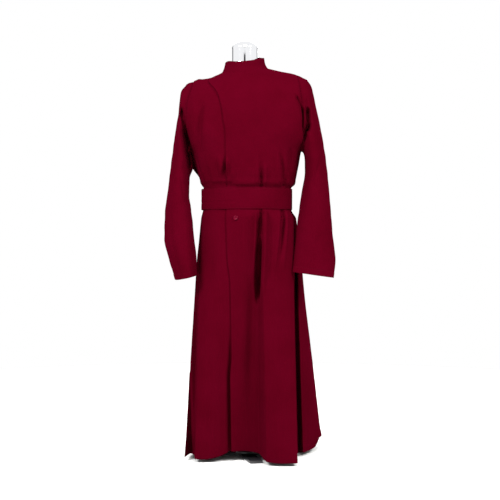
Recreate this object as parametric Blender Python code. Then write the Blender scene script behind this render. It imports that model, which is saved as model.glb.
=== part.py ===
"""A full-length cassock on a limbless dress form.

Run it with: blender --background --python part.py

Metres, +Z up. The origin is on the floor under the pole, +X is the wearer's left and -Y is the front.
The cloth of the body is one surface, body_point(), of an angle round the body and a level up it:
level -1 is the hem, 0 the waist, and each row of SECTIONS above it is one level more. The panels are
closed walls cut from that surface along their seams. The sleeves leave it at the armholes, the collar
stands on its neck ring, and the cincture and the button lie on it, moved out from its points.
"""

import math

import bpy
import numpy as np

# ---------------------------------------------------------------------------------------------
# Driving sizes, in metres
# ---------------------------------------------------------------------------------------------

CLOTH = 0.0020            # wall of the wool cloth, with its turnings
COLLAR_CLOTH = 0.0026     # wall of the interfaced collar
BAND_CLOTH = 0.0026       # wall of the cincture
LAYER_GAP = 0.0004        # air between two layers that lie on each other
SEAM_GAP = 0.0003         # air between two pieces at a seam
ARMHOLE_GAP = 0.0012      # air between the body and a sleeve, which leaves it at a sharp angle
COLLAR_GAP = 0.0008       # air under the collar, whose seam bends more than the others

HEM_Z = 0.012             # lowest hem above the floor
WAIST_LOW_Z = 0.9005      # lower edge of the cinched waist
WAIST_TOP_Z = 0.9790      # upper edge of the cinched waist
UNDERARM_Z = 1.115
SHOULDER_Z = 1.381        # outer end of the shoulder seam
NECK_SIDE_Z = 1.414       # inner end of the shoulder seam

WAIST_HALF = 0.1625       # half the waist's width
CHEST_HALF = 0.2005       # half the width at the underarms
ARM_HALF = 0.2125         # half the width at the middle of the armholes
SHOULDER_HALF = 0.190     # from the middle to the end of the shoulder seam
NECK_HALF = 0.0765

ARM_DEPTH = 0.073         # half the armhole's width from front to back
ARM_MIDDLE_Y = 0.004      # y of the armhole's middle
TURN = math.radians(-8)   # the upper body is turned a little, its left side forward
LEAN = 0.044              # the left shoulder stands higher, by this much for each metre of X
LEAN_START_Z = 1.095      # where that begins
LEAN_RISE = 0.266         # height over which it grows to the full

SKIRT_FLARE = 0.80        # below 1 the skirt springs out sooner under the waist
SKIRT_PUFF = 0.0075       # how far the cloth stands out just below the cincture
PUFF_LEFT = 0.6           # how much more of that there is at the wearer's left, and less at the right
PUFF_FULL = 0.035         # share of the way down to the hem where it is greatest
PUFF_END = 0.45           # share of the way down where it is gone
GATHER_START = 0.022      # height beside the cincture over which a gather sinks to its full depth

UNDERLAP = 34             # degrees that the lower front runs on under the upper one
LAP_FADE = 38             # degrees over which the upper front comes down to the body surface

COLLAR_HEIGHT_FRONT = 0.036
COLLAR_HEIGHT_BACK = 0.046
COLLAR_TOP_SCALE = 0.885
COLLAR_START = -74        # angle of the collar's outer end
COLLAR_LAP = 14           # degrees that its inner end runs on beneath
COLLAR_COLUMNS = 45
COLLAR_CENTRE = (-0.002, 0.002)
COLLAR_DRAW = 0.7         # below 1 the collar draws in more near its seam than near its top edge
COLLAR_REST = -104        # angle, on the right shoulder, where the collar's seam begins to leave the back
COLLAR_REST_FADE = 14     # degrees over which it has risen by the upper front's stand-off

BAND_START = -98          # angle of the cincture's outer end
BAND_LAP = 24             # degrees that its inner end runs on beneath
BAND_COLUMNS = 64
BAND_INSET = 0.0010       # from the edges of the cinched waist to the cincture's edges
BAND_STEP = 6             # degrees before the lap where the cincture rises onto the upper front
LAP_EASE = 30             # degrees over which a band comes down from its own hidden end

BUTTON_RADIUS = 0.0085
BUTTON_THICK = 0.0036
BUTTON_ANGLE = -7
BUTTON_LEVEL = -0.036
BUTTON_SEGMENTS = 16

FOOT_REACH = 0.166        # from the pole's axis to the end of each leg of the foot
FOOT_HALF = 0.0235        # half the width of a leg
FOOT_THICK = 0.010
FOOT_CORNER = 0.006       # rounding of a leg's corners, seen from above
CORNER_STEPS = 3
FOOT_EDGE = 0.0012        # easing of the foot's edges
FOOT_ANGLE = 14.6         # degrees that the front leg points to the left of straight ahead
POLE_RADIUS = 0.014
POLE_SEGMENTS = 24
FLANGE_RADIUS = 0.034
FLANGE_THICK = 0.012
TORSO_BASE_Z = 0.776      # underside of the torso
TORSO_TOP_Z = 1.436       # where the torso's neck ends and the metal neck begins
TORSO_SIDE_ANGLE = 82     # where the torso's front and back give way to its straight sides
TORSO_STEPS = 5           # spans of its front from the middle to a side
NECK_RADIUS = 0.0495
NECK_TOP_Z = 1.524
NECK_STRAIGHT_Z = 1.494   # where its sides end and its dome begins
NECK_STEPS = 7
NECK_SEGMENTS = 32
NECK_TIP = 0.06           # radius of the dome's flat tip, as a share
CLOSE_LEVEL = 6.6         # level above which the torso comes nearer to the cloth
RIDGE_POWER = 12          # how narrow the ridge of the shoulders is that touches the cloth
TORSO_CLEAR = 0.0100      # from the inside of the cloth to the torso, but for the shoulders
YOKE_CLEAR = 0.0050       # the same before and behind the shoulders
SHOULDER_CLEAR = 0.0008   # the same on the shoulders, which carry the cloth


# ---------------------------------------------------------------------------------------------
# Tables: each row is a section or a fold
# ---------------------------------------------------------------------------------------------

def table(columns, rows):
    """Turn rows of values into one list of values for each named column."""
    names = columns.split()
    return {name: [row[i] for row in rows] for i, name in enumerate(names)}


# Sections of the body from the waist up. half is half the width about centre, front and back are the
# y of the middle of the front and of the back, and side is the y of the side where the two meet.
# arm is the angle round the armhole, from 180 at the underarm to 0 at the shoulder, which gives the
# side of those sections instead of half, side and z_side. square above 2 makes a section boxier.
SECTIONS = table(
    "name        z_front      z_side       z_back       centre half           side   front   back   square arm", [
    ("waist",    WAIST_LOW_Z, WAIST_LOW_Z, WAIST_LOW_Z, 0.008, WAIST_HALF,    0.000, -0.114, 0.106, 2.2, 0),
    ("belt_top", WAIST_TOP_Z, WAIST_TOP_Z, WAIST_TOP_Z, 0.008, WAIST_HALF,    0.000, -0.114, 0.106, 2.2, 0),
    ("blouse",   1.000,       1.000,       1.000,       0.011, 0.1725,        0.000, -0.122, 0.113, 2.2, 0),
    ("rib",      1.048,       1.048,       1.048,       0.008, 0.1850,        0.002, -0.127, 0.117, 2.2, 0),
    ("underarm", UNDERARM_Z,  UNDERARM_Z,  UNDERARM_Z,  0.005, CHEST_HALF,    0.004, -0.131, 0.121, 2.2, 180),
    ("arm_low",  1.170,       1.154,       1.172,       0.005, ARM_HALF,      0.004, -0.131, 0.124, 2.1, 135),
    ("arm_mid",  1.235,       1.248,       1.245,       0.005, ARM_HALF,      0.004, -0.126, 0.123, 2.0, 90),
    ("arm_high", 1.298,       1.342,       1.315,       0.005, ARM_HALF,      0.004, -0.115, 0.114, 2.0, 45),
    ("shoulder", 1.336,       SHOULDER_Z,  1.362,       0.005, SHOULDER_HALF, 0.004, -0.101, 0.100, 2.0, 0),
    ("slope",    1.374,       1.399,       1.402,       0.001, 0.1300,        0.004, -0.082, 0.084, 2.0, 0),
    ("neck",     1.404,       NECK_SIDE_Z, 1.428,      -0.002, NECK_HALF,    0.003, -0.063, 0.069, 2.0, 0),
])
UNDERARM = SECTIONS["name"].index("underarm")
SHOULDER = SECTIONS["name"].index("shoulder")
SLOPE = SECTIONS["name"].index("slope")
NECK = SECTIONS["name"].index("neck")

# Fold lines of the skirt, right round from the back to the front and on to the back again. angle is
# where a line leaves the waist; x, y and z are where it meets the hem. Ridges and valleys take turns.
SKIRT = table(
    "name             angle    x       y       z", [
        ("back_ridge_1", -172, -0.060,  0.226, 0.016),
        ("back_valley_1", -158, -0.086,  0.172, 0.020),
        ("back_ridge_2", -142, -0.140,  0.205, 0.016),
        ("back_valley_2", -129, -0.150,  0.136, 0.020),
        ("back_ridge_3", -115, -0.204,  0.122, 0.015),
        ("side_valley",  -103, -0.190,  0.052, 0.017),
        ("side_seam",     -94, -0.207, -0.010, 0.016),
        ("side_ridge",    -87, -0.215, -0.121, 0.014),
        ("side_tuck",     -81, -0.186, -0.098, 0.017),
        ("panel_edge",    -75, -0.176, -0.147, 0.013),
        ("panel_mid",     -52, -0.140, -0.151, 0.013),
        ("panel_inner",   -34, -0.096, -0.143, 0.020),
        ("lap",           -19, -0.047, -0.126, 0.036),
        ("valley_left",    -2,  0.002, -0.118, 0.037),
        ("valley_right",   15,  0.050, -0.124, 0.030),
        ("fold_edge",      22,  0.079, -0.204, 0.014),
        ("fold_mid",       48,  0.125, -0.222, HEM_Z),
        ("fold_outer",     80,  0.184, -0.217, HEM_Z),
        ("gap_front",      86,  0.188, -0.080, 0.015),
        ("gap_back",       93,  0.214, -0.034, 0.015),
        ("flare_front",   102,  0.280,  0.110, 0.016),
        ("flare",         112,  0.294,  0.190, 0.024),
        ("flare_back",    121,  0.240,  0.224, 0.022),
        ("back_valley_3", 133,  0.150,  0.160, 0.022),
        ("back_ridge_4",  147,  0.112,  0.232, 0.017),
        ("back_valley_4", 162,  0.052,  0.170, 0.020),
        ("back_ridge_5",  176,  0.000,  0.214, 0.017),
    ])

# Gathers that the cincture makes. A gather is a groove that is deepest near the cincture and runs
# out at z_end, where it stands at end_angle. spread is half its width in degrees.
GATHERS = table(
    "name               angle  end_angle  spread  z_end  depth", [
        ("bodice_middle",      22,   19,      4.5,   1.085, 0.0080),
        ("bodice_left",        60,   54,      5.0,   1.075, 0.0070),
        ("bodice_left_side",   76,   74,      5.0,   1.060, 0.0050),
        ("bodice_lap",        -34,  -27,      5.0,   1.060, 0.0045),
        ("bodice_right_side", -62,  -68,      5.5,   1.190, 0.0055),
        ("skirt_middle",       22,   15,      4.5,   0.620, 0.0150),
        ("skirt_left",         60,   42,      5.0,   0.700, 0.0080),
        ("back_1",            118,  112,      5.0,   1.080, 0.0060),
        ("back_2",            146,  150,      5.0,   1.110, 0.0070),
        ("back_3",            176,  174,      5.0,   1.070, 0.0055),
        ("back_4",            206,  200,      5.0,   1.105, 0.0070),
        ("back_5",            240,  246,      5.0,   1.075, 0.0060),
        ("seat_1",            162,  162,      5.0,   0.700, 0.0080),
        ("seat_2",            202,  202,      5.0,   0.700, 0.0080),
    ])

# The free edge of the upper front: its angle at each level, up to the shoulder seam and along it.
LAP = table(
    "level      angle", [
        (-1,        -19.0),
        (0,         -19.0),
        (2,         -17.5),
        (UNDERARM,  -16.5),
        (6,         -18.0),
        (7,         -24.0),
        (SHOULDER,  -36.0),
        (SLOPE,     -84.0),
        (NECK,      -85.0),
    ])

# Profile of the button, from its back over the rim to the dished face: out is the share of its radius,
# up the share of its thickness.
BUTTON = table(
    "out  up", [
        (0.90, 0.00),
        (1.00, 0.22),
        (1.00, 0.61),
        (0.90, 1.00),
        (0.72, 1.00),
        (0.55, 0.72),
        (0.20, 0.66),
    ])

# How the torso rounds under: the waist's outline, drawn in to a scale at each height.
TORSO_UNDER = table(
    "scale  z", [
        (0.78, TORSO_BASE_Z),
        (0.93, TORSO_BASE_Z + 0.008),
        (1.00, 0.810),
        (1.00, 0.860),
    ])
TORSO_LEVELS = [0, 1, 2, 3]   # its rings below the armholes
TORSO_TOP_SCALE = 0.78        # its flat top, as a share of the last ring
TORSO_EDGE_SCALE = 0.84       # and the edge just below that
TORSO_EDGE_FLAT = 0.7         # how nearly that edge has come up to the top

# Profile of the pole from the foot up, heights measured from the foot's top.
POLE = table(
    "radius  z", [
        (FLANGE_RADIUS, 0.0),
        (FLANGE_RADIUS, 0.0084),
        (0.0290,        FLANGE_THICK),
        (0.0182,        0.0168),
        (POLE_RADIUS,   0.0264),
    ])

# Sections of the two sleeves from just below the armhole to the cuff. outer and inner are the ends of
# a section seen from the front, y is its middle, depth is half its width from front to back, and lean
# moves its front edge toward +X.
LEFT_SLEEVE = table(
    "outer_x outer_z inner_x inner_z  y       depth    lean", [
        (0.2270, 1.376, 0.2110, 1.112, -0.0255, 0.0735, -0.0105),
        (0.2430, 1.350, 0.2145, 1.106, -0.0250, 0.0760, -0.0100),
        (0.2590, 1.280, 0.2180, 1.086, -0.0240, 0.0790, -0.0080),
        (0.2775, 1.196, 0.2190, 1.054, -0.0240, 0.0800, -0.0050),
        (0.2925, 1.105, 0.2165, 1.018, -0.0290, 0.0760, -0.0020),
        (0.3035, 1.000, 0.2065, 0.968, -0.0400, 0.0660,  0.0000),
        (0.3120, 0.893, 0.1955, 0.893, -0.0570, 0.0540,  0.0000),
        (0.3175, 0.805, 0.1855, 0.818, -0.0780, 0.0430,  0.0000),
        (0.3250, 0.722, 0.1775, 0.742, -0.0980, 0.0330,  0.0000),
        (0.3170, 0.655, 0.1700, 0.676, -0.1160, 0.0250,  0.0000),
    ])
RIGHT_SLEEVE = table(
    "outer_x  outer_z  inner_x  inner_z  y       depth    lean", [
        (-0.2130, 1.367, -0.2015, 1.110,  0.0335, 0.0735, -0.0105),
        (-0.2330, 1.343, -0.2030, 1.105,  0.0330, 0.0760, -0.0100),
        (-0.2430, 1.270, -0.2035, 1.080,  0.0300, 0.0790, -0.0070),
        (-0.2590, 1.180, -0.2025, 1.048,  0.0230, 0.0800, -0.0020),
        (-0.2710, 1.085, -0.2040, 1.012,  0.0130, 0.0780,  0.0030),
        (-0.2820, 0.985, -0.2050, 0.960, -0.0020, 0.0740,  0.0070),
        (-0.2930, 0.885, -0.1965, 0.893, -0.0180, 0.0700,  0.0100),
        (-0.2940, 0.800, -0.1880, 0.815, -0.0360, 0.0660,  0.0120),
        (-0.2750, 0.720, -0.1835, 0.735, -0.0490, 0.0630,  0.0140),
        (-0.2500, 0.646, -0.1830, 0.662, -0.0580, 0.0610,  0.0140),
    ])


# ---------------------------------------------------------------------------------------------
# Small mathematics
# ---------------------------------------------------------------------------------------------

def smooth(x):
    """Ease from 0 to 1, flat at both ends."""
    x = min(max(x, 0.0), 1.0)
    return x * x * (3 - 2 * x)


def lerp(a, b, t):
    return a + (b - a) * t


def signed_power(value, exponent):
    return math.copysign(abs(value) ** exponent, value)


def unit(vector):
    return vector / np.linalg.norm(vector)


def slope_at(keys, values, i):
    """Slope of a monotone cubic at row i: the harmonic mean of its neighbours' slopes, or 0 at a peak."""
    if i == 0 or i == len(keys) - 1:
        j = min(max(i, 1), len(keys) - 1)
        return (values[j] - values[j - 1]) / (keys[j] - keys[j - 1])
    before = (values[i] - values[i - 1]) / (keys[i] - keys[i - 1])
    after = (values[i + 1] - values[i]) / (keys[i + 1] - keys[i])
    if before * after <= 0:
        return 0.0
    return 2 * before * after / (before + after)


def read(keys, values, key):
    """Value at a key on the monotone cubic through the rows of a table."""
    key = min(max(key, keys[0]), keys[-1])
    i = max(j for j in range(len(keys) - 1) if keys[j] <= key or j == 0)
    width = keys[i + 1] - keys[i]
    t = (key - keys[i]) / width
    rise_a = slope_at(keys, values, i) * width
    rise_b = slope_at(keys, values, i + 1) * width
    return ((2 * t ** 3 - 3 * t ** 2 + 1) * values[i] + (t ** 3 - 2 * t ** 2 + t) * rise_a
            + (3 * t ** 2 - 2 * t ** 3) * values[i + 1] + (t ** 3 - t ** 2) * rise_b)


def wrapped(angle):
    """The same angle between -180 and 180."""
    return (angle + 180) % 360 - 180


# ---------------------------------------------------------------------------------------------
# The body surface
# ---------------------------------------------------------------------------------------------

STEP_ANGLE = 0.8          # degrees to each side of a point that give its outward direction
STEP_LEVEL = 0.02         # and levels above and below it
SIDE = 90                 # angle of the side seams
SIDE_NEAR = 0.2           # degrees within which a point counts as on one

LEVELS = list(range(len(SECTIONS["name"])))

# The skirt's table, with its last rows repeated before it and its first rows after it.
SKIRT_ANGLES = ([a - 360 for a in SKIRT["angle"][-3:]] + SKIRT["angle"]
                + [a + 360 for a in SKIRT["angle"][:3]])


def skirt_column(name):
    values = SKIRT[name]
    return values[-3:] + values + values[:3]


SKIRT_X, SKIRT_Y, SKIRT_Z = skirt_column("x"), skirt_column("y"), skirt_column("z")


def section_value(name, level):
    return read(LEVELS, SECTIONS[name], level)


def armhole(side, angle):
    """Point of the armhole's edge. side is 1 for the wearer's left; angle is 0 at the shoulder, 90 in
    front, 180 at the underarm and 270 behind."""
    c, s = math.cos(math.radians(angle)), math.sin(math.radians(angle))
    taper = (SHOULDER_HALF + CHEST_HALF) / 2 - ARM_HALF
    x = ARM_HALF + (SHOULDER_HALF - CHEST_HALF) / 2 * c + taper * c * c
    z = lerp(UNDERARM_Z, SHOULDER_Z, (1 + c) / 2)
    return np.array([side * x, ARM_MIDDLE_Y - ARM_DEPTH * s, z])


def gather_depth(angle, z):
    """How far the gathers draw the cloth in at a place."""
    depth = 0.0
    for i, z_end in enumerate(GATHERS["z_end"]):
        z_start = WAIST_TOP_Z if z_end > WAIST_TOP_Z else WAIST_LOW_Z
        along = (z - z_start) / (z_end - z_start)
        if not 0 < along < 1:
            continue
        middle = lerp(GATHERS["angle"][i], GATHERS["end_angle"][i], along)
        across = abs(wrapped(angle - middle)) / GATHERS["spread"][i]
        if across < 1:
            start = smooth(abs(z - z_start) / GATHER_START)
            depth += GATHERS["depth"][i] * start * (1 - smooth(along)) * (1 - smooth(across))
    return depth


def upper_point(chart, angle, level):
    """Point of the body from the waist up. chart is front or back, and angle runs on from -90 to 90 in
    front and from 90 to 270 behind."""
    c, s = math.cos(math.radians(angle)), math.sin(math.radians(angle))
    power = 2 / section_value("square", level)
    centre = section_value("centre", level)
    if UNDERARM <= level <= SHOULDER:
        arm = section_value("arm", level)
        edge = armhole(1, arm if chart == "front" else 360 - arm)
        half, side, z_side = edge
    else:
        half = section_value("half", level)
        side = section_value("side", level)
        z_side = section_value("z_side", level)
    middle = section_value(chart, level)
    z_middle = section_value("z_" + chart, level)
    x = centre + half * signed_power(s, power)
    y = side + (middle - side) * abs(c) ** power
    z = z_middle + (z_side - z_middle) * s * s
    return placed(np.array([x, y, z]))


def placed(point):
    """Turn a point of the upper body on the pole, and raise its left side."""
    x, y, z = point
    c, s = math.cos(TURN), math.sin(TURN)
    lift = LEAN * x * smooth((z - LEAN_START_Z) / LEAN_RISE)
    return np.array([x * c - y * s, x * s + y * c, z + lift])


def skirt_point(angle, t):
    """Point of the skirt, t of the way from the waist to the hem."""
    chart = "front" if abs(wrapped(angle)) <= SIDE else "back"
    waist = upper_point(chart, angle, 0)
    key = wrapped(angle)
    spread = t ** SKIRT_FLARE
    x = lerp(waist[0], read(SKIRT_ANGLES, SKIRT_X, key), spread)
    y = lerp(waist[1], read(SKIRT_ANGLES, SKIRT_Y, key), spread)
    z = lerp(waist[2], read(SKIRT_ANGLES, SKIRT_Z, key), t)
    out = unit(np.array([waist[0] - SECTIONS["centre"][0], waist[1], 0.0]))
    puff = SKIRT_PUFF * (1 + PUFF_LEFT * out[0]) * smooth(t / PUFF_FULL) * (1 - smooth(t / PUFF_END))
    return np.array([x, y, z]) + out * puff


def body_point(chart, angle, level):
    """Point of the outer face of the body cloth, gathers and folds included."""
    point = skirt_point(angle, -level) if level < 0 else upper_point(chart, angle, level)
    depth = gather_depth(angle, point[2])
    if depth:
        inward = unit(np.array([SECTIONS["centre"][0] - point[0], -point[1], 0.0]))
        point = point + inward * depth
    return point


def chart_normal(chart, angle, level):
    """Outward direction of the body surface, from points of one chart alone."""
    low, high = (-SIDE, SIDE) if chart == "front" else (SIDE, 360 - SIDE)
    a, b = max(angle - STEP_ANGLE, low), min(angle + STEP_ANGLE, high)
    down, up = max(level - STEP_LEVEL, -1.0), min(level + STEP_LEVEL, NECK)
    along = body_point(chart, b, level) - body_point(chart, a, level)
    rise = body_point(chart, angle, up) - body_point(chart, angle, down)
    return unit(np.cross(along, rise))


def body_normal(chart, angle, level):
    """Outward direction, shared by the front and the back where they meet at a seam."""
    normal = chart_normal(chart, angle, level)
    at_side = abs(abs(wrapped(angle)) - SIDE) < SIDE_NEAR
    if at_side and not UNDERARM < level < SHOULDER:
        other = "back" if chart == "front" else "front"
        twin = SIDE if wrapped(angle) > 0 else (360 - SIDE if other == "back" else -SIDE)
        normal = unit(normal + chart_normal(other, twin, level))
    return normal


# ---------------------------------------------------------------------------------------------
# Closed walls
# ---------------------------------------------------------------------------------------------

def wall_mesh(name, outer, inner, closed=False):
    """A closed wall between two grids of points, rows by columns. closed joins its last column to its
    first, as on a sleeve. Across then up the grid is the outward side."""
    rows, columns = len(outer), len(outer[0])
    points = [p for grid in (outer, inner) for row in grid for p in row]
    half = rows * columns
    faces = []
    spans = columns if closed else columns - 1
    for i in range(rows - 1):
        for j in range(spans):
            k = (j + 1) % columns
            a, b = i * columns + j, i * columns + k
            c, d = a + columns, b + columns
            faces += [(a, b, d), (a, d, c)]
            faces += [(half + a, half + d, half + b), (half + a, half + c, half + d)]
    for j in range(spans):
        k = (j + 1) % columns
        faces.append((half + j, half + k, k, j))
        top = (rows - 1) * columns
        faces.append((top + j, top + k, half + top + k, half + top + j))
    if not closed:
        for i in range(rows - 1):
            a, c = i * columns, (i + 1) * columns
            faces.append((a, c, half + c, half + a))
            b, d = a + columns - 1, c + columns - 1
            faces.append((b, half + b, half + d, d))
    mesh = bpy.data.meshes.new(name)
    mesh.from_pydata([tuple(p) for p in points], [], faces)
    mesh.validate()
    return mesh


def turned_mesh(name, profile, segments):
    """A solid turned about Z from (radius, z) rows, bottom to top, with a flat cap at each end."""
    points, faces = [], []
    for radius, z in profile:
        for k in range(segments):
            angle = 2 * math.pi * k / segments
            points.append((radius * math.cos(angle), radius * math.sin(angle), z))
    for i in range(len(profile) - 1):
        for k in range(segments):
            m = (k + 1) % segments
            a, b = i * segments + k, i * segments + m
            faces.append((a, b, b + segments, a + segments))
    faces.append(tuple(reversed(range(segments))))
    faces.append(tuple(range((len(profile) - 1) * segments, len(profile) * segments)))
    mesh = bpy.data.meshes.new(name)
    mesh.from_pydata(points, [], faces)
    mesh.validate()
    return mesh


def add_object(mesh, material, smooth_angle=40):
    mesh.materials.append(material)
    mesh.shade_smooth()
    mesh.set_sharp_from_angle(angle=math.radians(smooth_angle))
    obj = bpy.data.objects.new(mesh.name, mesh)
    bpy.context.scene.collection.objects.link(obj)
    return obj


def make_material(name, colour, roughness, metallic=0.0):
    material = bpy.data.materials.new(name)
    material.use_nodes = True
    shader = material.node_tree.nodes["Principled BSDF"]
    shader.inputs["Base Color"].default_value = (*colour, 1.0)
    shader.inputs["Roughness"].default_value = roughness
    shader.inputs["Metallic"].default_value = metallic
    return material


# ---------------------------------------------------------------------------------------------
# The panels
# ---------------------------------------------------------------------------------------------

# Levels of the rings of points, up the body. The button has one, so that it lies on a true point.
SKIRT_ROWS = [-1.0, -0.86, -0.70, -0.54, -0.40, -0.28, -0.18, -0.11, -0.07, BUTTON_LEVEL, -0.015]
WAIST_MIDDLE = 0.5
WAIST_ROWS = [0, 1, 1.45, 2, 2.5, 3, 3.5]
ARMHOLE_STEP = 18         # degrees round the armhole from row to row, shared with the sleeves
ARMHOLE_ROWS = [UNDERARM + (SHOULDER - UNDERARM) * k * ARMHOLE_STEP / 180
                for k in range(180 // ARMHOLE_STEP + 1)]
YOKE_ROWS = [SHOULDER + 0.5, SLOPE, SLOPE + 0.5, NECK]
COLUMN_GAP = 3.0          # fold lines nearer each other than this, in degrees, share a column
COLUMN_SPAN = 5.0         # columns farther apart than this have one between them
BODY_ROWS = SKIRT_ROWS + WAIST_ROWS + ARMHOLE_ROWS + YOKE_ROWS


def lap_angle(level):
    return read(LAP["level"], LAP["angle"], level)


def lap_height(angle, level):
    """How far the upper front stands off the body surface at an angle: by the layer under it, easing
    down to nothing past that layer's hidden edge."""
    past = angle - lap_angle(level) - UNDERLAP
    return (CLOTH + LAYER_GAP) * (1 - smooth(past / LAP_FADE))


def no_height(angle, level):
    return 0.0


def fold_angles(start, end, extra=()):
    """Angles of the columns between two seams: each fold line, each gather, and one between."""
    marks = {start, end, *extra}
    for turn in (-360, 0, 360):
        for angle in SKIRT["angle"] + GATHERS["angle"]:
            if start + COLUMN_GAP < angle + turn < end - COLUMN_GAP:
                marks.add(angle + turn)
    marks = sorted(marks)
    spaced = [marks[0]]
    for mark in marks[1:]:
        if mark - spaced[-1] >= COLUMN_GAP:
            spaced.append(mark)
    columns = []
    for a, b in zip(spaced, spaced[1:]):
        parts = 2 if b - a > COLUMN_SPAN else 1
        columns.extend(lerp(a, b, k / parts) for k in range(parts))
    return columns + [end]


def panel(name, chart, columns, height, material):
    """A wall of the body: columns gives the angles of a row at a level, height its stand-off there."""
    outer, inner = [], []
    for level in BODY_ROWS:
        row_outer, row_inner = [], []
        angles = columns(level)
        first, last = body_point(chart, angles[0], level), body_point(chart, angles[-1], level)
        for i, angle in enumerate(angles):
            normal = body_normal(chart, angle, level)
            point = body_point(chart, angle, level)
            if i == 0:
                point = point + unit(body_point(chart, angles[1], level) - first) * SEAM_GAP / 2
            if i == len(angles) - 1:
                point = point + unit(body_point(chart, angles[-2], level) - last) * SEAM_GAP / 2
            point = point + normal * height(angle, level)
            row_outer.append(point)
            row_inner.append(point - normal * CLOTH)
        outer.append(row_outer)
        inner.append(row_inner)
    return add_object(wall_mesh(name, outer, inner), material)


def front_angle(skirt_angle, level):
    """Where a column of the fronts, named by its angle in the skirt, lies at a level. The lap and the
    hidden edge are columns of both fronts, so that the two layers follow each other."""
    skirt_marks = [-SIDE, lap_angle(-1), lap_angle(-1) + UNDERLAP, SIDE]
    marks = [-SIDE, lap_angle(level), lap_angle(level) + UNDERLAP, SIDE]
    return float(np.interp(skirt_angle, skirt_marks, marks))


def make_fronts(material):
    """The upper front runs from the lap to the left side; the lower one from the right side to its
    hidden edge under the lap."""
    lap = lap_angle(-1)
    hidden = lap + UNDERLAP
    columns = fold_angles(-SIDE, SIDE, (lap, hidden, BUTTON_ANGLE))
    upper = [a for a in columns if a >= lap]
    lower = [a for a in columns if a <= hidden]

    def at(angles):
        return lambda level: [front_angle(angle, level) for angle in angles]

    panel("front_left", "front", at(upper), lap_height, material)
    panel("front_right", "front", at(lower), no_height, material)


def make_back(material):
    angles = fold_angles(SIDE, 360 - SIDE)
    panel("back", "back", lambda level: angles, no_height, material)


# ---------------------------------------------------------------------------------------------
# Sleeves, collar, cincture, button
# ---------------------------------------------------------------------------------------------

# Levels of a sleeve's rings: whole numbers are the rows of its table.
SLEEVE_ROWS = [0, 0.5, 1, 1.5, 2, 2.6, 3.3, 4.1, 5, 5.8, 6.6, 7.4, 8.2, 9]


def sleeve_point(rows, side, angle, level):
    """Point of a sleeve: level 0 is just outside the armhole, 9 the cuff; angle as on the armhole."""
    keys = list(range(len(rows["y"])))
    values = {name: read(keys, rows[name], level) for name in rows}
    c, s = math.cos(math.radians(angle)), math.sin(math.radians(angle))
    outer = np.array([values["outer_x"], values["y"], values["outer_z"]])
    inner = np.array([values["inner_x"], values["y"], values["inner_z"]])
    front = np.array([values["lean"], -values["depth"], 0.0])
    return (outer + inner) / 2 + (outer - inner) / 2 * c + front * s


def make_sleeve(name, rows, side, material):
    angles = [ARMHOLE_STEP * k for k in range(360 // ARMHOLE_STEP)]
    rings = [[sleeve_point(rows, side, angle, level) for angle in angles] for level in SLEEVE_ROWS]
    middle = np.array([SECTIONS["centre"][UNDERARM], 0, 0])
    edge = [placed(armhole(side, angle) + middle) for angle in angles]
    start = [point + np.array([side * ARMHOLE_GAP, 0, 0]) for point in edge]
    rings = [start] + rings
    outer, inner = [], []
    count = len(angles)
    for i, ring in enumerate(rings):
        row_outer, row_inner = [], []
        for j, point in enumerate(ring):
            along = ring[(j + 1) % count] - ring[j - 1]
            above = rings[min(i + 1, len(rings) - 1)][j] - rings[max(i - 1, 0)][j]
            normal = unit(np.cross(along, above)) * side
            row_outer.append(point)
            row_inner.append(point - normal * CLOTH)
        outer.append(row_outer)
        inner.append(row_inner)
    if side < 0:
        outer = [row[::-1] for row in outer]
        inner = [row[::-1] for row in inner]
    return add_object(wall_mesh(name, outer, inner, closed=True), material)


def band_chart(angle):
    """Chart and angle of a direction round the body, for pieces that go all the way round."""
    angle = wrapped(angle)
    if -SIDE <= angle <= SIDE:
        return "front", angle
    return "back", angle if angle > 0 else angle + 360


def band_lift(turned, lap, thickness):
    """How far the first stretch of a lapped band stands off: over its own hidden end, then down."""
    return (thickness + LAYER_GAP) * (1 - smooth((turned - lap) / LAP_EASE))


def collar_lift(angle):
    """How far the collar's seam stands off the body: by the layers of the fronts, over the lap."""
    past_side = smooth((angle - COLLAR_REST) / COLLAR_REST_FADE) if angle < 0 else 1.0
    return lap_height(angle, NECK) * past_side


def make_collar(material):
    """A stand collar on the neck ring, lapped at the wearer's right."""
    turns = [(360 + COLLAR_LAP) * k / (COLLAR_COLUMNS - 1) for k in range(COLLAR_COLUMNS)]
    outer, inner = [[], [], []], [[], [], []]
    for turned in turns:
        chart, angle = band_chart(COLLAR_START + turned)
        base = body_point(chart, angle, NECK)
        base = base + body_normal(chart, angle, NECK) * collar_lift(wrapped(angle))
        centre = np.array([*COLLAR_CENTRE, base[2]])
        radial = unit(base - centre)
        behind = smooth((1 - math.cos(math.radians(angle))) / 2)
        height = lerp(COLLAR_HEIGHT_FRONT, COLLAR_HEIGHT_BACK, behind)
        lift = band_lift(turned, COLLAR_LAP, COLLAR_CLOTH)
        for i, share in enumerate((0.0, 0.5, 1.0)):
            scale = lerp(1, COLLAR_TOP_SCALE, share ** COLLAR_DRAW)
            point = centre + (base - centre) * scale + radial * lift
            point[2] = base[2] + COLLAR_GAP + height * share
            outer[i].append(point)
            inner[i].append(point - radial * COLLAR_CLOTH)
    return add_object(wall_mesh("collar", outer, inner), material)


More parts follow.
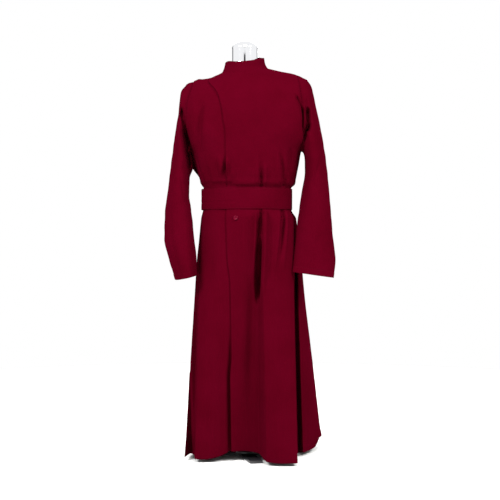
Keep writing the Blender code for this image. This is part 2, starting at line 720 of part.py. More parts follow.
def make_cincture(material):
    """The waist band, on the outermost cloth, lapped at the wearer's right side."""
    low = BAND_INSET
    high = WAIST_TOP_Z - WAIST_LOW_Z - BAND_INSET
    turns = [(360 + BAND_LAP) * k / (BAND_COLUMNS - 1) for k in range(BAND_COLUMNS)]
    outer, inner = [[], [], []], [[], [], []]
    for turned in turns:
        chart, angle = band_chart(BAND_START + turned)
        on_lap = chart == "front" and angle >= lap_angle(0) - BAND_STEP
        stand = lap_height(angle, 0) if on_lap else 0.0
        stand += 2 * LAYER_GAP + band_lift(turned, BAND_LAP, BAND_CLOTH)
        normal = unit(body_normal(chart, angle, WAIST_MIDDLE) * np.array([1, 1, 0]))
        for i, rise in enumerate((low, (low + high) / 2, high)):
            point = body_point(chart, angle, 0) + normal * stand
            point[2] = WAIST_LOW_Z + rise
            inner[i].append(point)
            outer[i].append(point + normal * BAND_CLOTH)
    return add_object(wall_mesh("cincture", outer, inner), material)


def make_button(material):
    """A shallow dished button on the upper front, flat side to the cloth."""
    profile = [(BUTTON_RADIUS * out, BUTTON_THICK * up) for out, up in zip(BUTTON["out"], BUTTON["up"])]
    obj = add_object(turned_mesh("button", profile, BUTTON_SEGMENTS), material)
    normal = body_normal("front", BUTTON_ANGLE, BUTTON_LEVEL)
    place = body_point("front", BUTTON_ANGLE, BUTTON_LEVEL)
    place = place + normal * (lap_height(BUTTON_ANGLE, BUTTON_LEVEL) + LAYER_GAP)
    side = unit(np.cross(np.array([0, 0, 1.0]), normal))
    up = np.cross(normal, side)
    turn = np.array([side, up, normal]).T
    for vertex in obj.data.vertices:
        vertex.co = turn @ np.array(vertex.co) + place
    return obj


# ---------------------------------------------------------------------------------------------
# The dress form
# ---------------------------------------------------------------------------------------------

def torso_ring(level):
    """One closed ring of the torso inside the cloth. A straight side bridges each armhole. The torso
    comes close to the cloth on the ridge of the shoulders alone."""
    shoulder = smooth((level - CLOSE_LEVEL) / (SHOULDER - CLOSE_LEVEL))
    ring = []
    for chart, middle in (("front", 0), ("back", 180)):
        for k in range(-TORSO_STEPS, TORSO_STEPS + 1):
            angle = middle + TORSO_SIDE_ANGLE * k / TORSO_STEPS
            ridge = abs(math.sin(math.radians(angle))) ** RIDGE_POWER
            clear = lerp(TORSO_CLEAR, lerp(YOKE_CLEAR, SHOULDER_CLEAR, ridge), shoulder)
            normal = upper_normal(chart, angle, level)
            ring.append(upper_point(chart, angle, level) - normal * (CLOTH + clear))
    return ring


def upper_normal(chart, angle, level):
    """Outward direction of the body from the waist up, without its gathers."""
    down, up = max(level - 0.05, 0.0), min(level + 0.05, NECK)
    along = upper_point(chart, angle + 2, level) - upper_point(chart, angle - 2, level)
    rise = upper_point(chart, angle, up) - upper_point(chart, angle, down)
    return unit(np.cross(along, rise))


def shrunk_ring(ring, scale, z, flat):
    """A ring drawn in toward its middle; flat 1 puts it all at height z."""
    middle = np.mean(ring, axis=0)
    points = [middle + (point - middle) * scale for point in ring]
    return [np.array([p[0], p[1], lerp(p[2], z, flat)]) for p in points]


def make_torso(material):
    """The torso: rounded under at the hips, a little inside the cloth all the way up, close to it on
    the shoulders, then drawn in to the neck."""
    waist = torso_ring(0)
    rings = [shrunk_ring(waist, scale, z, 1) for scale, z in zip(TORSO_UNDER["scale"], TORSO_UNDER["z"])]
    rings += [torso_ring(level) for level in TORSO_LEVELS + ARMHOLE_ROWS + YOKE_ROWS]
    neck = rings[-1]
    rings.append(shrunk_ring(neck, TORSO_EDGE_SCALE, TORSO_TOP_Z, TORSO_EDGE_FLAT))
    rings.append(shrunk_ring(neck, TORSO_TOP_SCALE, TORSO_TOP_Z, 1))
    count = len(rings[0])
    faces = []
    for i in range(len(rings) - 1):
        for k in range(count):
            a, b = i * count + k, i * count + (k + 1) % count
            faces.append((a, b, b + count, a + count))
    faces.append(tuple(reversed(range(count))))
    faces.append(tuple(range((len(rings) - 1) * count, len(rings) * count)))
    mesh = bpy.data.meshes.new("form_torso")
    mesh.from_pydata([tuple(p) for ring in rings for p in ring], [], faces)
    mesh.validate()
    return add_object(mesh, material)


def foot_outline():
    """Outline of the three-legged foot, seen from above."""
    outline = []
    notch = FOOT_HALF / math.sin(math.radians(60))
    for leg in range(3):
        turn = math.radians(FOOT_ANGLE + 120 * leg - 90)
        ahead = np.array([math.cos(turn), math.sin(turn)])
        left = np.array([-ahead[1], ahead[0]])
        tip = ahead * (FOOT_REACH - FOOT_CORNER)
        for side in (-1, 1):
            for k in range(CORNER_STEPS + 1):
                corner = math.radians(90 * (k if side < 0 else CORNER_STEPS - k) / CORNER_STEPS)
                outline.append(tip + ahead * FOOT_CORNER * math.sin(corner)
                               + left * side * (FOOT_HALF - FOOT_CORNER * (1 - math.cos(corner))))
        between = turn + math.radians(60)
        outline.append(notch * np.array([math.cos(between), math.sin(between)]))
    return outline


def make_foot(material):
    """The flat three-legged foot, cut from plate, with its edges eased."""
    outline = foot_outline()
    count = len(outline)
    points = [(p[0], p[1], z) for z in (0.0, FOOT_THICK) for p in outline]
    faces = [tuple(reversed(range(count))), tuple(range(count, 2 * count))]
    faces += [(k, (k + 1) % count, count + (k + 1) % count, count + k) for k in range(count)]
    mesh = bpy.data.meshes.new("form_base")
    mesh.from_pydata(points, [], faces)
    obj = add_object(mesh, material)
    bevel = obj.modifiers.new("eased_edges", "BEVEL")
    bevel.width = FOOT_EDGE
    bevel.segments = 1
    bevel.angle_limit = math.radians(50)
    return obj


def make_neck_and_pole(chrome, steel):
    """The domed metal neck on the torso, and the pole with its flange on the foot."""
    dome = [(NECK_RADIUS, TORSO_TOP_Z + SEAM_GAP), (NECK_RADIUS, NECK_STRAIGHT_Z)]
    rise = NECK_TOP_Z - NECK_STRAIGHT_Z
    for k in range(1, NECK_STEPS):
        turn = math.radians(90 * k / NECK_STEPS)
        dome.append((NECK_RADIUS * math.cos(turn), NECK_STRAIGHT_Z + rise * math.sin(turn)))
    dome.append((NECK_RADIUS * NECK_TIP, NECK_TOP_Z))
    add_object(turned_mesh("form_neck", dome, NECK_SEGMENTS), chrome)

    foot_top = FOOT_THICK + SEAM_GAP
    pole = [(radius, foot_top + z) for radius, z in zip(POLE["radius"], POLE["z"])]
    pole.append((POLE_RADIUS, TORSO_BASE_Z - SEAM_GAP))
    add_object(turned_mesh("form_pole", pole, POLE_SEGMENTS), steel)


def main():
    for obj in list(bpy.data.objects):
        bpy.data.objects.remove(obj, do_unlink=True)
    cloth = make_material("crimson_wool", (0.122, 0.0015, 0.012), 0.75)
    make_fronts(cloth)
    make_back(cloth)
    make_sleeve("sleeve_left", LEFT_SLEEVE, 1, cloth)
    make_sleeve("sleeve_right", RIGHT_SLEEVE, -1, cloth)
    make_collar(cloth)
    make_cincture(cloth)
    make_button(make_material("crimson_button", (0.10, 0.003, 0.01), 0.3))
    steel = make_material("black_steel", (0.015, 0.015, 0.017), 0.4)
    make_torso(make_material("torso_cover", (0.60, 0.58, 0.53), 0.9))
    make_neck_and_pole(make_material("chrome", (0.85, 0.85, 0.86), 0.06, 1.0), steel)
    make_foot(steel)


main()
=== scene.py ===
"""A full-length cassock on a limbless dress form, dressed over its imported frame.

The file is laid out as an add-on and run as a script. Metres, +Z up, the origin on the floor under the
pole, +X the wearer's left and -Y the front. The cloth of the body is one surface, body(), of an angle
round the wearer and a level up the garment: level -1 is the hem, 0 the waist, and each row of SECTIONS
above it is one level more. Panels are cut from it, creased, and turned into walls with rounded edges.
"""

import math

import bpy
import numpy as np
from bpy.props import FloatProperty, FloatVectorProperty, IntProperty, PointerProperty
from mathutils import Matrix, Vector


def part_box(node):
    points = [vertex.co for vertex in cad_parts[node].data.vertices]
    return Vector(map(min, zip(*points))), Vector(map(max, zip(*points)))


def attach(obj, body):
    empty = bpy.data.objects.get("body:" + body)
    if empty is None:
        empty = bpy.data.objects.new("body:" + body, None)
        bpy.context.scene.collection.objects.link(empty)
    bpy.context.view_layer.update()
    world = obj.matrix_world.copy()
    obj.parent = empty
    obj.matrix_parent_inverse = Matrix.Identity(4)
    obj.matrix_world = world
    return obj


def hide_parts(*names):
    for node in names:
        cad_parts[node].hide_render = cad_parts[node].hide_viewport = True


bl_info = {
    "name": "Cassock on a dress form",
    "version": (1, 0, 0),
    "blender": (4, 5, 0),
    "location": "3D Viewport > Sidebar > Cassock",
    "description": "Builds a cassock, its band and button, the dress form that wears it, and a studio",
    "category": "Add Mesh",
}

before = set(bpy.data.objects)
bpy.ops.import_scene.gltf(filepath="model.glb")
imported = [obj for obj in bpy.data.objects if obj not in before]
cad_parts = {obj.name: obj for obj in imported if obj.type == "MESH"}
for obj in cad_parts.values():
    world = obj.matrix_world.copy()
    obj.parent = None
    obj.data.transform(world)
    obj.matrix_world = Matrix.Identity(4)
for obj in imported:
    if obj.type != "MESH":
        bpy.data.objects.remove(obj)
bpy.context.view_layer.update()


# ---- Small mathematics ----

def table(columns, rows):
    """Turn rows of values into one array for each named column."""
    return {name: np.array(values) for name, values in zip(columns.split(), zip(*rows))}


def smooth(x):
    """Ease from 0 to 1, flat at both ends."""
    x = np.clip(x, 0.0, 1.0)
    return x * x * (3 - 2 * x)


def lerp(a, b, t):
    return a + (b - a) * t


def unit(vectors):
    return vectors / np.maximum(np.linalg.norm(vectors, axis=-1, keepdims=True), 1e-12)


def cos_sin(degrees):
    return np.cos(np.radians(degrees)), np.sin(np.radians(degrees))


def grids(*values):
    """Numbers or arrays as float arrays of one shape."""
    return np.broadcast_arrays(*(np.asarray(value, float) for value in values))


def bump(x):
    """A soft hump: 1 at 0, nothing beyond 1 either way."""
    return 1 - smooth(np.abs(x))


def read(keys, values, at):
    """Values at keys on the monotone cubic through the rows of a table."""
    keys, values = np.asarray(keys, float), np.asarray(values, float)
    secant = np.diff(values) / np.diff(keys)
    slope = np.concatenate([secant[:1], np.zeros(len(keys) - 2), secant[-1:]])
    product = secant[:-1] * secant[1:]
    both = np.where(product > 0, secant[:-1] + secant[1:], 1.0)
    slope[1:-1] = np.where(product > 0, 2 * product / both, 0.0)
    at = np.clip(at, keys[0], keys[-1])
    i = np.clip(np.searchsorted(keys, at, side="right") - 1, 0, len(keys) - 2)
    width = keys[i + 1] - keys[i]
    t = (at - keys[i]) / width
    return ((2 * t ** 3 - 3 * t ** 2 + 1) * values[i] + (t ** 3 - 2 * t ** 2 + t) * slope[i] * width
            + (3 * t ** 2 - 2 * t ** 3) * values[i + 1] + (t ** 3 - t ** 2) * slope[i + 1] * width)


def wrapped(angle):
    """The same angle between -180 and 180."""
    return (angle + 180) % 360 - 180


def spread(*stops):
    """Steps from one stop to the next: stops are value, count, value, count ... value."""
    parts = [np.linspace(stops[i], stops[i + 2], stops[i + 1], endpoint=False)
             for i in range(0, len(stops) - 2, 2)]
    return np.concatenate(parts + [[stops[-1]]])


# ---- Sizes and tables of the garment, in metres and degrees ----

CLOTH = 0.0020
COLLAR_CLOTH = 0.0026
BAND_CLOTH = 0.0026
LAYER_GAP = 0.0004
SEAM_GAP = 0.0003
SEAM_LAP = 0.0009
COLLAR_GAP = 0.0008

HEM_Z = 0.012
WAIST_LOW_Z = 0.9005
WAIST_TOP_Z = 0.9790
UNDERARM_Z = 1.115
SHOULDER_Z = 1.381
NECK_SIDE_Z = 1.414
WAIST_HALF = 0.1625
CHEST_HALF = 0.2005
ARM_HALF = 0.2125
SHOULDER_HALF = 0.190
NECK_HALF = 0.0765
ARM_DEPTH = 0.073
ARM_MIDDLE_Y = 0.004
TURN = math.radians(-8)
LEAN = 0.044
LEAN_START_Z = 1.095
LEAN_RISE = 0.266
SKIRT_FLARE = 0.80
SKIRT_PUFF = 0.0075
PUFF_LEFT = 0.6
PUFF_FULL = 0.035
PUFF_END = 0.45
GATHER_START = 0.022
UNDERLAP = 34
LAP_FADE = 38
SIDE = 90
# Steps that the directions of the surface are measured over, and how far from a seam they are shared.
ANGLE_STEP = 0.8
LEVEL_STEP = 0.02
SEAM_BLEND = 3

COLLAR_HEIGHT_FRONT = 0.036
COLLAR_HEIGHT_BACK = 0.046
COLLAR_TOP_SCALE = 0.885
COLLAR_START = -74
COLLAR_LAP = 14
COLLAR_CENTRE = (-0.002, 0.002)
COLLAR_DRAW = 0.7
COLLAR_REST = -104
COLLAR_REST_FADE = 14
COLLAR_BEND = 0.34
COLLAR_COLUMNS = 176
COLLAR_REACH = 0.3
COLLAR_FOOT = 0.014
COLLAR_SINK = 0.0025
BAND_START = -98
BAND_LAP = 24
BAND_INSET = 0.0010
BAND_STEP = 6
BAND_EASE = 4
BAND_RADIUS = 0.16
BAND_COLUMNS = 300
BAND_STITCH = 0.004
LAP_EASE = 30
BUTTON_RADIUS = 0.0085
BUTTON_THICK = 0.0036
BUTTON_ANGLE = -7
BUTTON_LEVEL = -0.036
BUTTON_DYE = "#4a0416"
HOLE_OFFSET = 0.0016
TURNED_SEGMENTS = 64

POLE_RADIUS = 0.014
FLANGE_RADIUS = 0.034
FLANGE_THICK = 0.012
TORSO_BASE_Z = 0.776
TORSO_TOP_Z = 1.436
TORSO_SIDE_ANGLE = 82
CLOSE_LEVEL = 6.6
RIDGE_POWER = 12
TORSO_CLEAR = 0.0100
YOKE_CLEAR = 0.0050
SHOULDER_CLEAR = 0.0008
NECK_RADIUS = 0.0495
NECK_TOP_Z = 1.524
NECK_STRAIGHT_Z = 1.494

# Sections of the body from the waist up: waist, top of the band, blouse, ribs, underarm, three up the
# armhole, shoulder, slope and neck. See body(). arm is the angle round the armhole.
SECTIONS = table("z_front z_side z_back centre half side front back square arm", [
    (WAIST_LOW_Z, WAIST_LOW_Z, WAIST_LOW_Z, 0.008,  WAIST_HALF,    0,     -0.114, 0.106, 2.2, 0),
    (WAIST_TOP_Z, WAIST_TOP_Z, WAIST_TOP_Z, 0.008,  WAIST_HALF,    0,     -0.114, 0.106, 2.2, 0),
    (1,           1,           1,           0.011,  0.1725,        0,     -0.122, 0.113, 2.2, 0),
    (1.048,       1.048,       1.048,       0.008,  0.185,         0.002, -0.127, 0.117, 2.2, 0),
    (UNDERARM_Z,  UNDERARM_Z,  UNDERARM_Z,  0.005,  CHEST_HALF,    0.004, -0.131, 0.121, 2.2, 180),
    (1.17,        1.154,       1.172,       0.005,  ARM_HALF,      0.004, -0.131, 0.124, 2.1, 135),
    (1.235,       1.248,       1.245,       0.005,  ARM_HALF,      0.004, -0.126, 0.123, 2,   90),
    (1.298,       1.342,       1.315,       0.005,  ARM_HALF,      0.004, -0.115, 0.114, 2,   45),
    (1.336,       SHOULDER_Z,  1.362,       0.005,  SHOULDER_HALF, 0.004, -0.101, 0.1,   2,   0),
    (1.374,       1.399,       1.402,       0.001,  0.13,          0.004, -0.082, 0.084, 2,   0),
    (1.404,       NECK_SIDE_Z, 1.428,       -0.002, NECK_HALF,     0.003, -0.063, 0.069, 2,   0),
])
UNDERARM, SHOULDER, SLOPE, NECK = 4, 8, 9, 10
LEVELS = np.arange(11)

# Fold lines of the skirt: the angle where each leaves the waist, and where it meets the hem.
SKIRT = table(
    "angle x       y       z", [
    (-172, -0.06,  0.226,  0.016),
    (-158, -0.086, 0.172,  0.02),
    (-142, -0.14,  0.205,  0.016),
    (-129, -0.15,  0.136,  0.02),
    (-115, -0.204, 0.122,  0.015),
    (-103, -0.19,  0.052,  0.017),
    (-94,  -0.207, -0.01,  0.016),
    (-87,  -0.215, -0.121, 0.014),
    (-81,  -0.186, -0.098, 0.017),
    (-75,  -0.176, -0.147, 0.013),
    (-52,  -0.14,  -0.151, 0.013),
    (-34,  -0.096, -0.143, 0.02),
    (-19,  -0.047, -0.126, 0.036),
    (-2,   0.002,  -0.118, 0.037),
    (15,   0.05,   -0.124, 0.03),
    (22,   0.079,  -0.204, 0.014),
    (48,   0.125,  -0.222, HEM_Z),
    (80,   0.184,  -0.217, HEM_Z),
    (86,   0.188,  -0.08,  0.015),
    (93,   0.214,  -0.034, 0.015),
    (102,  0.28,   0.11,   0.016),
    (112,  0.294,  0.19,   0.024),
    (121,  0.24,   0.224,  0.022),
    (133,  0.15,   0.16,   0.022),
    (147,  0.112,  0.232,  0.017),
    (162,  0.052,  0.17,   0.02),
    (176,  0,      0.214,  0.017),
])

# Gathers that the band makes: where each starts and ends, half its width in degrees, and its depth.
GATHERS = table(
    "angle end_angle spread z_end  depth", [
    (22,   19,       4.5,   1.085, 0.008),
    (60,   54,       5,     1.075, 0.007),
    (76,   74,       5,     1.06,  0.005),
    (-34,  -27,      5,     1.06,  0.0045),
    (-62,  -68,      5.5,   1.19,  0.0055),
    (22,   15,       4.5,   0.62,  0.015),
    (60,   42,       5,     0.7,   0.008),
    (118,  112,      5,     1.08,  0.006),
    (146,  150,      5,     1.11,  0.007),
    (176,  174,      5,     1.07,  0.0055),
    (206,  200,      5,     1.105, 0.007),
    (240,  246,      5,     1.075, 0.006),
    (162,  162,      5,     0.7,   0.008),
    (202,  202,      5,     0.7,   0.008),
])

# The free edge of the upper front: its angle at each level.
LAP = table(
    "level     angle", [
    (-1,       -19),
    (0,        -19),
    (2,        -17.5),
    (UNDERARM, -16.5),
    (6,        -18),
    (7,        -24),
    (SHOULDER, -36),
    (SLOPE,    -84),
    (NECK,     -85),
])

# Sections of the sleeves from just below the armhole to the cuff, as they stand seen from the front.
LEFT_SLEEVE = table(
    "outer_x outer_z inner_x inner_z y        depth   lean", [
    (0.227,  1.376,  0.211,  1.112,  -0.0255, 0.0735, -0.0105),
    (0.243,  1.35,   0.2145, 1.106,  -0.025,  0.076,  -0.01),
    (0.259,  1.28,   0.218,  1.086,  -0.024,  0.079,  -0.008),
    (0.2775, 1.196,  0.219,  1.054,  -0.024,  0.08,   -0.005),
    (0.2925, 1.105,  0.2165, 1.018,  -0.029,  0.076,  -0.002),
    (0.3035, 1,      0.2065, 0.968,  -0.04,   0.066,  0),
    (0.312,  0.893,  0.1955, 0.893,  -0.057,  0.054,  0),
    (0.3175, 0.805,  0.1855, 0.818,  -0.078,  0.043,  0),
    (0.325,  0.722,  0.1775, 0.742,  -0.098,  0.033,  0),
    (0.317,  0.655,  0.17,   0.676,  -0.116,  0.025,  0),
])
RIGHT_SLEEVE = table(
    "outer_x outer_z inner_x  inner_z y       depth   lean", [
    (-0.213, 1.367,  -0.2015, 1.11,   0.0335, 0.0735, -0.0105),
    (-0.233, 1.343,  -0.203,  1.105,  0.033,  0.076,  -0.01),
    (-0.243, 1.27,   -0.2035, 1.08,   0.03,   0.079,  -0.007),
    (-0.259, 1.18,   -0.2025, 1.048,  0.023,  0.08,   -0.002),
    (-0.271, 1.085,  -0.204,  1.012,  0.013,  0.078,  0.003),
    (-0.282, 0.985,  -0.205,  0.96,   -0.002, 0.074,  0.007),
    (-0.293, 0.885,  -0.1965, 0.893,  -0.018, 0.07,   0.01),
    (-0.294, 0.8,    -0.188,  0.815,  -0.036, 0.066,  0.012),
    (-0.275, 0.72,   -0.1835, 0.735,  -0.049, 0.063,  0.014),
    (-0.25,  0.646,  -0.183,  0.662,  -0.058, 0.061,  0.014),
])

# Creases: troughs where depth is above 0 and ridges where it is below. Each runs from (u0, v0) to
# (u1, v1), bent sideways by bow at its middle, and fades over a share of its length at each end. width
# is half its width; sharp above 0 makes the flank on the +u side steeper and the other one gentler.
# On the body u is x and v is z. On a sleeve u is the angle round it and v the level down it.
CREASE = "u0 v0 u1 v1 bow width depth sharp fade0 fade1"
FRONT_CREASES = table(CREASE, [
    (-0.151, 1.305, -0.157, 1.08,  -0.011, 0.015, 0.0098,  0.2,  0.3,  0.45),
    (-0.136, 1.28,  -0.142, 1.12,  -0.006, 0.016, -0.0035, 0,    0.4,  0.4),
    (-0.15,  1.09,  -0.128, 0.99,  0.002,  0.016, 0.0035,  0.1,  0.5,  0.1),
    (-0.048, 1.035, -0.048, 0.98,  0.001,  0.024, 0.0055,  0.1,  0.7,  0.05),
    (-0.168, 0.993, -0.035, 0.991, 0,      0.012, 0.0065,  0,    0.15, 0.15),
    (0.044,  1.08,  0.046,  0.988, 0,      0.011, -0.005,  0,    0.6,  0.15),
    (0.073,  1.08,  0.072,  0.988, 0,      0.012, -0.0045, 0,    0.6,  0.15),
    (0.057,  1.095, 0.059,  0.978, 0,      0.011, 0.009,   0.2,  0.7,  0.04),
    (0.118,  1.11,  0.128,  0.988, 0.001,  0.01,  -0.004,  0,    0.5,  0.15),
    (0.128,  1.125, 0.142,  0.98,  0.001,  0.008, 0.0095,  0.2,  0.5,  0.04),
    (0.142,  1.11,  0.157,  0.988, 0.001,  0.009, -0.004,  0,    0.5,  0.15),
    (0.161,  1.13,  0.167,  1.04,  0.002,  0.009, 0.0075,  0.2,  0.4,  0.4),
    (0.093,  1.06,  0.093,  0.982, 0,      0.02,  0.003,   0,    0.6,  0.1),
    (-0.12,  0.78,  -0.15,  0.56,  0.006,  0.03,  0.006,   0.1,  0.5,  0.6),
    (-0.125, 0.42,  -0.13,  0.06,  0.003,  0.016, 0.0025,  0,    0.4,  0.2),
    (-0.09,  0.56,  -0.085, 0.16,  0.003,  0.02,  0.003,   0,    0.5,  0.4),
    (0.0585, 0.905, 0.054,  0.78,  0,      0.007, 0.0045,  0.3,  0.1,  0.4),
    (0.055,  0.808, 0.045,  0.54,  0.001,  0.009, 0.076,   0.4,  0.34, 0.45),
    (0.0735, 0.901, 0.063,  0.56,  0.002,  0.01,  -0.021,  -0.4, 0.1,  0.5),
    (0.042,  0.901, 0.03,   0.6,   0,      0.012, -0.015,  0.3,  0.1,  0.6),
    (0.1375, 0.905, 0.116,  0.66,  0.004,  0.008, 0.0105,  0.3,  0.04, 0.8),
    (0.15,   0.9,   0.133,  0.66,  0.004,  0.008, -0.008,  0,    0.1,  0.7),
    (0.125,  0.9,   0.103,  0.66,  0.004,  0.008, -0.006,  0,    0.1,  0.7),
    (0.103,  0.88,  0.098,  0.6,   0,      0.016, -0.003,  0,    0.3,  0.6),
    (0.022,  0.72,  0.014,  0.12,  0.004,  0.026, 0.014,   0.1,  0.4,  0.5),
    (0.012,  0.88,  0.01,   0.66,  0.002,  0.014, 0.003,   0,    0.2,  0.6),
])
BACK_CREASES = table(CREASE, [
    (-0.12, 1.34, -0.085, 1.15,  0.004,  0.018, 0.004,  0,   0.4, 0.5),
    (0.12,  1.34, 0.088,  1.15,  -0.004, 0.018, 0.004,  0,   0.4, 0.5),
    (-0.06, 1.08, -0.052, 0.985, 0.001,  0.01,  0.0045, 0.1, 0.6, 0.1),
    (0.07,  1.09, 0.06,   0.985, 0.001,  0.01,  0.0045, 0.1, 0.6, 0.1),
    (0.008, 1.06, 0.006,  0.985, 0,      0.01,  0.003,  0,   0.6, 0.1),
    (-0.1,  0.88, -0.12,  0.52,  0.003,  0.016, 0.006,  0.2, 0.2, 0.6),
    (0.112, 0.88, 0.15,   0.52,  0.003,  0.016, 0.006,  0.2, 0.2, 0.6),
    (0,     0.88, 0.004,  0.56,  0.002,  0.016, 0.005,  0,   0.2, 0.6),
])

# Draws run across seams, so that every piece near one moves alike. Points on the line from (x0, y0, z0)
# to (x1, y1, z1) move by (dx, dy, dz), and those a radius away by an eighth of it. SET_DRAWS are how the
# shoulders and neck are set, and move the form too. FOLD_DRAWS are folds of the cloth alone.
DRAW = "x0 y0 z0 x1 y1 z1 radius dx dy dz"
SET_DRAWS = table(DRAW, [
    (0.07,    0,     1.425, 0.19,    0,      1.387, 0.04,  0,      0, 0.006),
    (0.072,   0,     1.41,  0.068,   0,      1.46,  0.03,  0.0045, 0, 0),
    (-0.176,  0,     1.38,  -0.205,  0,      1.364, 0.024, 0,      0, 0.011),
    (-0.1,    0,     1.404, -0.122,  0,      1.398, 0.034, 0,      0, -0.006),
    (-0.068,  0,     1.462, -0.066,  0.03,   1.466, 0.034, 0,      0, -0.011),
    (-0.0585, -0.06, 1.434, -0.0585, -0.015, 1.434, 0.008, 0,      0, -0.006),
])
FOLD_DRAWS = table(DRAW, [
    (-0.233, -0.04,  1.262, -0.219, -0.033, 1.195, 0.012, 0,      0.034,   0),
    (-0.217, -0.032, 1.18,  -0.203, -0.02,  1.07,  0.02,  0,      0.062,   0),
    (-0.243, -0.045, 1.21,  -0.23,  -0.045, 1.08,  0.015, 0,      -0.02,   0),
    (0.199,  -0.075, 1.17,  0.199,  -0.075, 1.16,  0.028, 0.012,  -0.004,  0),
    (0.186,  -0.109, 1.302, 0.1985, -0.105, 1.271, 0.008, 0,      0.0105,  0),
    (0.1775, -0.109, 1.3,   0.19,   -0.107, 1.268, 0.007, 0,      -0.0035, 0),
    (0.1945, -0.107, 1.303, 0.207,  -0.1,   1.273, 0.007, 0,      -0.0035, 0),
    (0.2015, -0.101, 1.258, 0.213,  -0.078, 1.158, 0.01,  0,      0.03,    0),
    (0.2245, -0.095, 1.295, 0.2255, -0.096, 1.276, 0.008, 0,      0.006,   0),
    (0.2259, -0.098, 1.256, 0.2264, -0.097, 1.211, 0.011, 0,      0.034,   0),
    (0.2262, -0.099, 1.2,   0.2252, -0.097, 1.189, 0.01,  0,      0.024,   0),
    (0.2285, -0.091, 1.201, 0.2215, -0.08,  1.158, 0.013, 0,      0.034,   0),
    (-0.083, -0.12,  1.185, -0.083, -0.12,  1.06,  0.036, 0.008,  0,       0),
    (-0.08,  -0.135, 1.06,  -0.078, -0.135, 1.04,  0.024, 0.007,  -0.002,  0),
    (-0.19,  0,      0.7,   -0.228, 0,      0.12,  0.09,  -0.004, 0,       0),
    (0.19,   0,      0.7,   0.25,   0.04,   0.18,  0.07,  0.004,  0,       0),
    (-0.06,  -0.13,  0.64,  -0.056, -0.14,  0.38,  0.07,  0.008,  0,       0),
    (0.1715, -0.036, 0.885, 0.179,  -0.042, 0.74,  0.013, -0.003, 0.032,   0),
    (0.19,   -0.034, 0.7,   0.2,    -0.055, 0.01,  0.016, -0.002, 0.088,   0),
    (-0.197, -0.1,   0.56,  -0.198, -0.11,  0.01,  0.02,  0.002,  0.055,   0),
    (0.193,  0,      0.015, 0.2,    0.04,   0.015, 0.025, 0,      0,       -0.01),
    (0.28,   0.115,  0.018, 0.262,  0.2,    0.02,  0.055, 0,      0,       0.028),
])


# ---- The body surface ----

def section(name, level):
    return read(LEVELS, SECTIONS[name].astype(float), level)


def armhole(side, angle):
    """Points of the armhole's edge: 0 at the shoulder, 90 in front, 180 at the underarm, 270 behind."""
    c, s = cos_sin(angle)
    taper = (SHOULDER_HALF + CHEST_HALF) / 2 - ARM_HALF
    x = ARM_HALF + (SHOULDER_HALF - CHEST_HALF) / 2 * c + taper * c * c
    return np.stack([side * x, ARM_MIDDLE_Y - ARM_DEPTH * s, lerp(UNDERARM_Z, SHOULDER_Z, (1 + c) / 2)], -1)


def placed(points):
    """Turn points of the upper body on the pole, and raise its left side."""
    x, y, z = points[..., 0], points[..., 1], points[..., 2]
    c, s = math.cos(TURN), math.sin(TURN)
    lift = LEAN * x * smooth((z - LEAN_START_Z) / LEAN_RISE)
    return np.stack([x * c - y * s, x * s + y * c, z + lift], -1)


def upper(chart, angle, level):
    """Points of the body from the waist up."""
    angle, level = grids(angle, level)
    c, s = cos_sin(angle)
    power = 2 / section("square", level)
    arm = section("arm", level)
    edge = armhole(1, arm if chart == "front" else 360 - arm)
    on_arm = (level >= UNDERARM) & (level <= SHOULDER)
    half = np.where(on_arm, edge[..., 0], section("half", level))
    side = np.where(on_arm, edge[..., 1], section("side", level))
    z_side = np.where(on_arm, edge[..., 2], section("z_side", level))
    x = section("centre", level) + half * np.sign(s) * np.abs(s) ** power
    y = side + (section(chart, level) - side) * np.abs(c) ** power
    z_middle = section("z_" + chart, level)
    return placed(np.stack([x, y, z_middle + (z_side - z_middle) * s * s], -1))


def outward_of(points):
    """Level directions away from the middle of the waist."""
    return unit((points - np.array([SECTIONS["centre"][0], 0, 0])) * np.array([1, 1, 0]))


def skirt(chart, angle, t):
    """Points of the skirt, t of the way from the waist to the hem."""
    angle, t = grids(angle, t)
    waist = upper(chart, angle, np.zeros_like(angle))
    # The table goes on round the garment past both of its ends.
    last, whole, first = ({n: SKIRT[n][part] for n in SKIRT}
                          for part in (slice(-3, None), slice(None), slice(3)))
    keys = np.concatenate([last["angle"] - 360, whole["angle"], first["angle"] + 360])
    hem = [read(keys, np.concatenate([last[n], whole[n], first[n]]), wrapped(angle)) for n in "xyz"]
    run = np.clip(t, 0, 1) ** SKIRT_FLARE
    points = np.stack([lerp(waist[..., k], hem[k], share) for k, share in enumerate((run, run, t))], -1)
    out = outward_of(waist)
    puff = SKIRT_PUFF * (1 + PUFF_LEFT * out[..., 0]) * smooth(t / PUFF_FULL) * (1 - smooth(t / PUFF_END))
    return points + out * puff[..., None]


def gather_depth(angle, z):
    """How far the gathers draw the cloth in at a place."""
    depth = np.zeros_like(z)
    for start, end, half, z_end, deep in zip(*GATHERS.values()):
        z_start = WAIST_TOP_Z if z_end > WAIST_TOP_Z else WAIST_LOW_Z
        along = (z - z_start) / (z_end - z_start)
        across = np.abs(wrapped(angle - lerp(start, end, along))) / half
        inside = (along > 0) & (along < 1)
        begin = smooth(np.abs(z - z_start) / GATHER_START)
        depth += np.where(inside, deep * begin * (1 - smooth(along)) * (1 - smooth(across)), 0.0)
    return depth


def body(chart, angle, level):
    """Points of the outer face of the body cloth, gathers and folds included."""
    angle, level = grids(angle, level)
    low = skirt(chart, angle, np.maximum(-level, 0))
    points = np.where((level < 0)[..., None], low, upper(chart, angle, np.maximum(level, 0)))
    return points - outward_of(points) * gather_depth(angle, points[..., 2])[..., None]


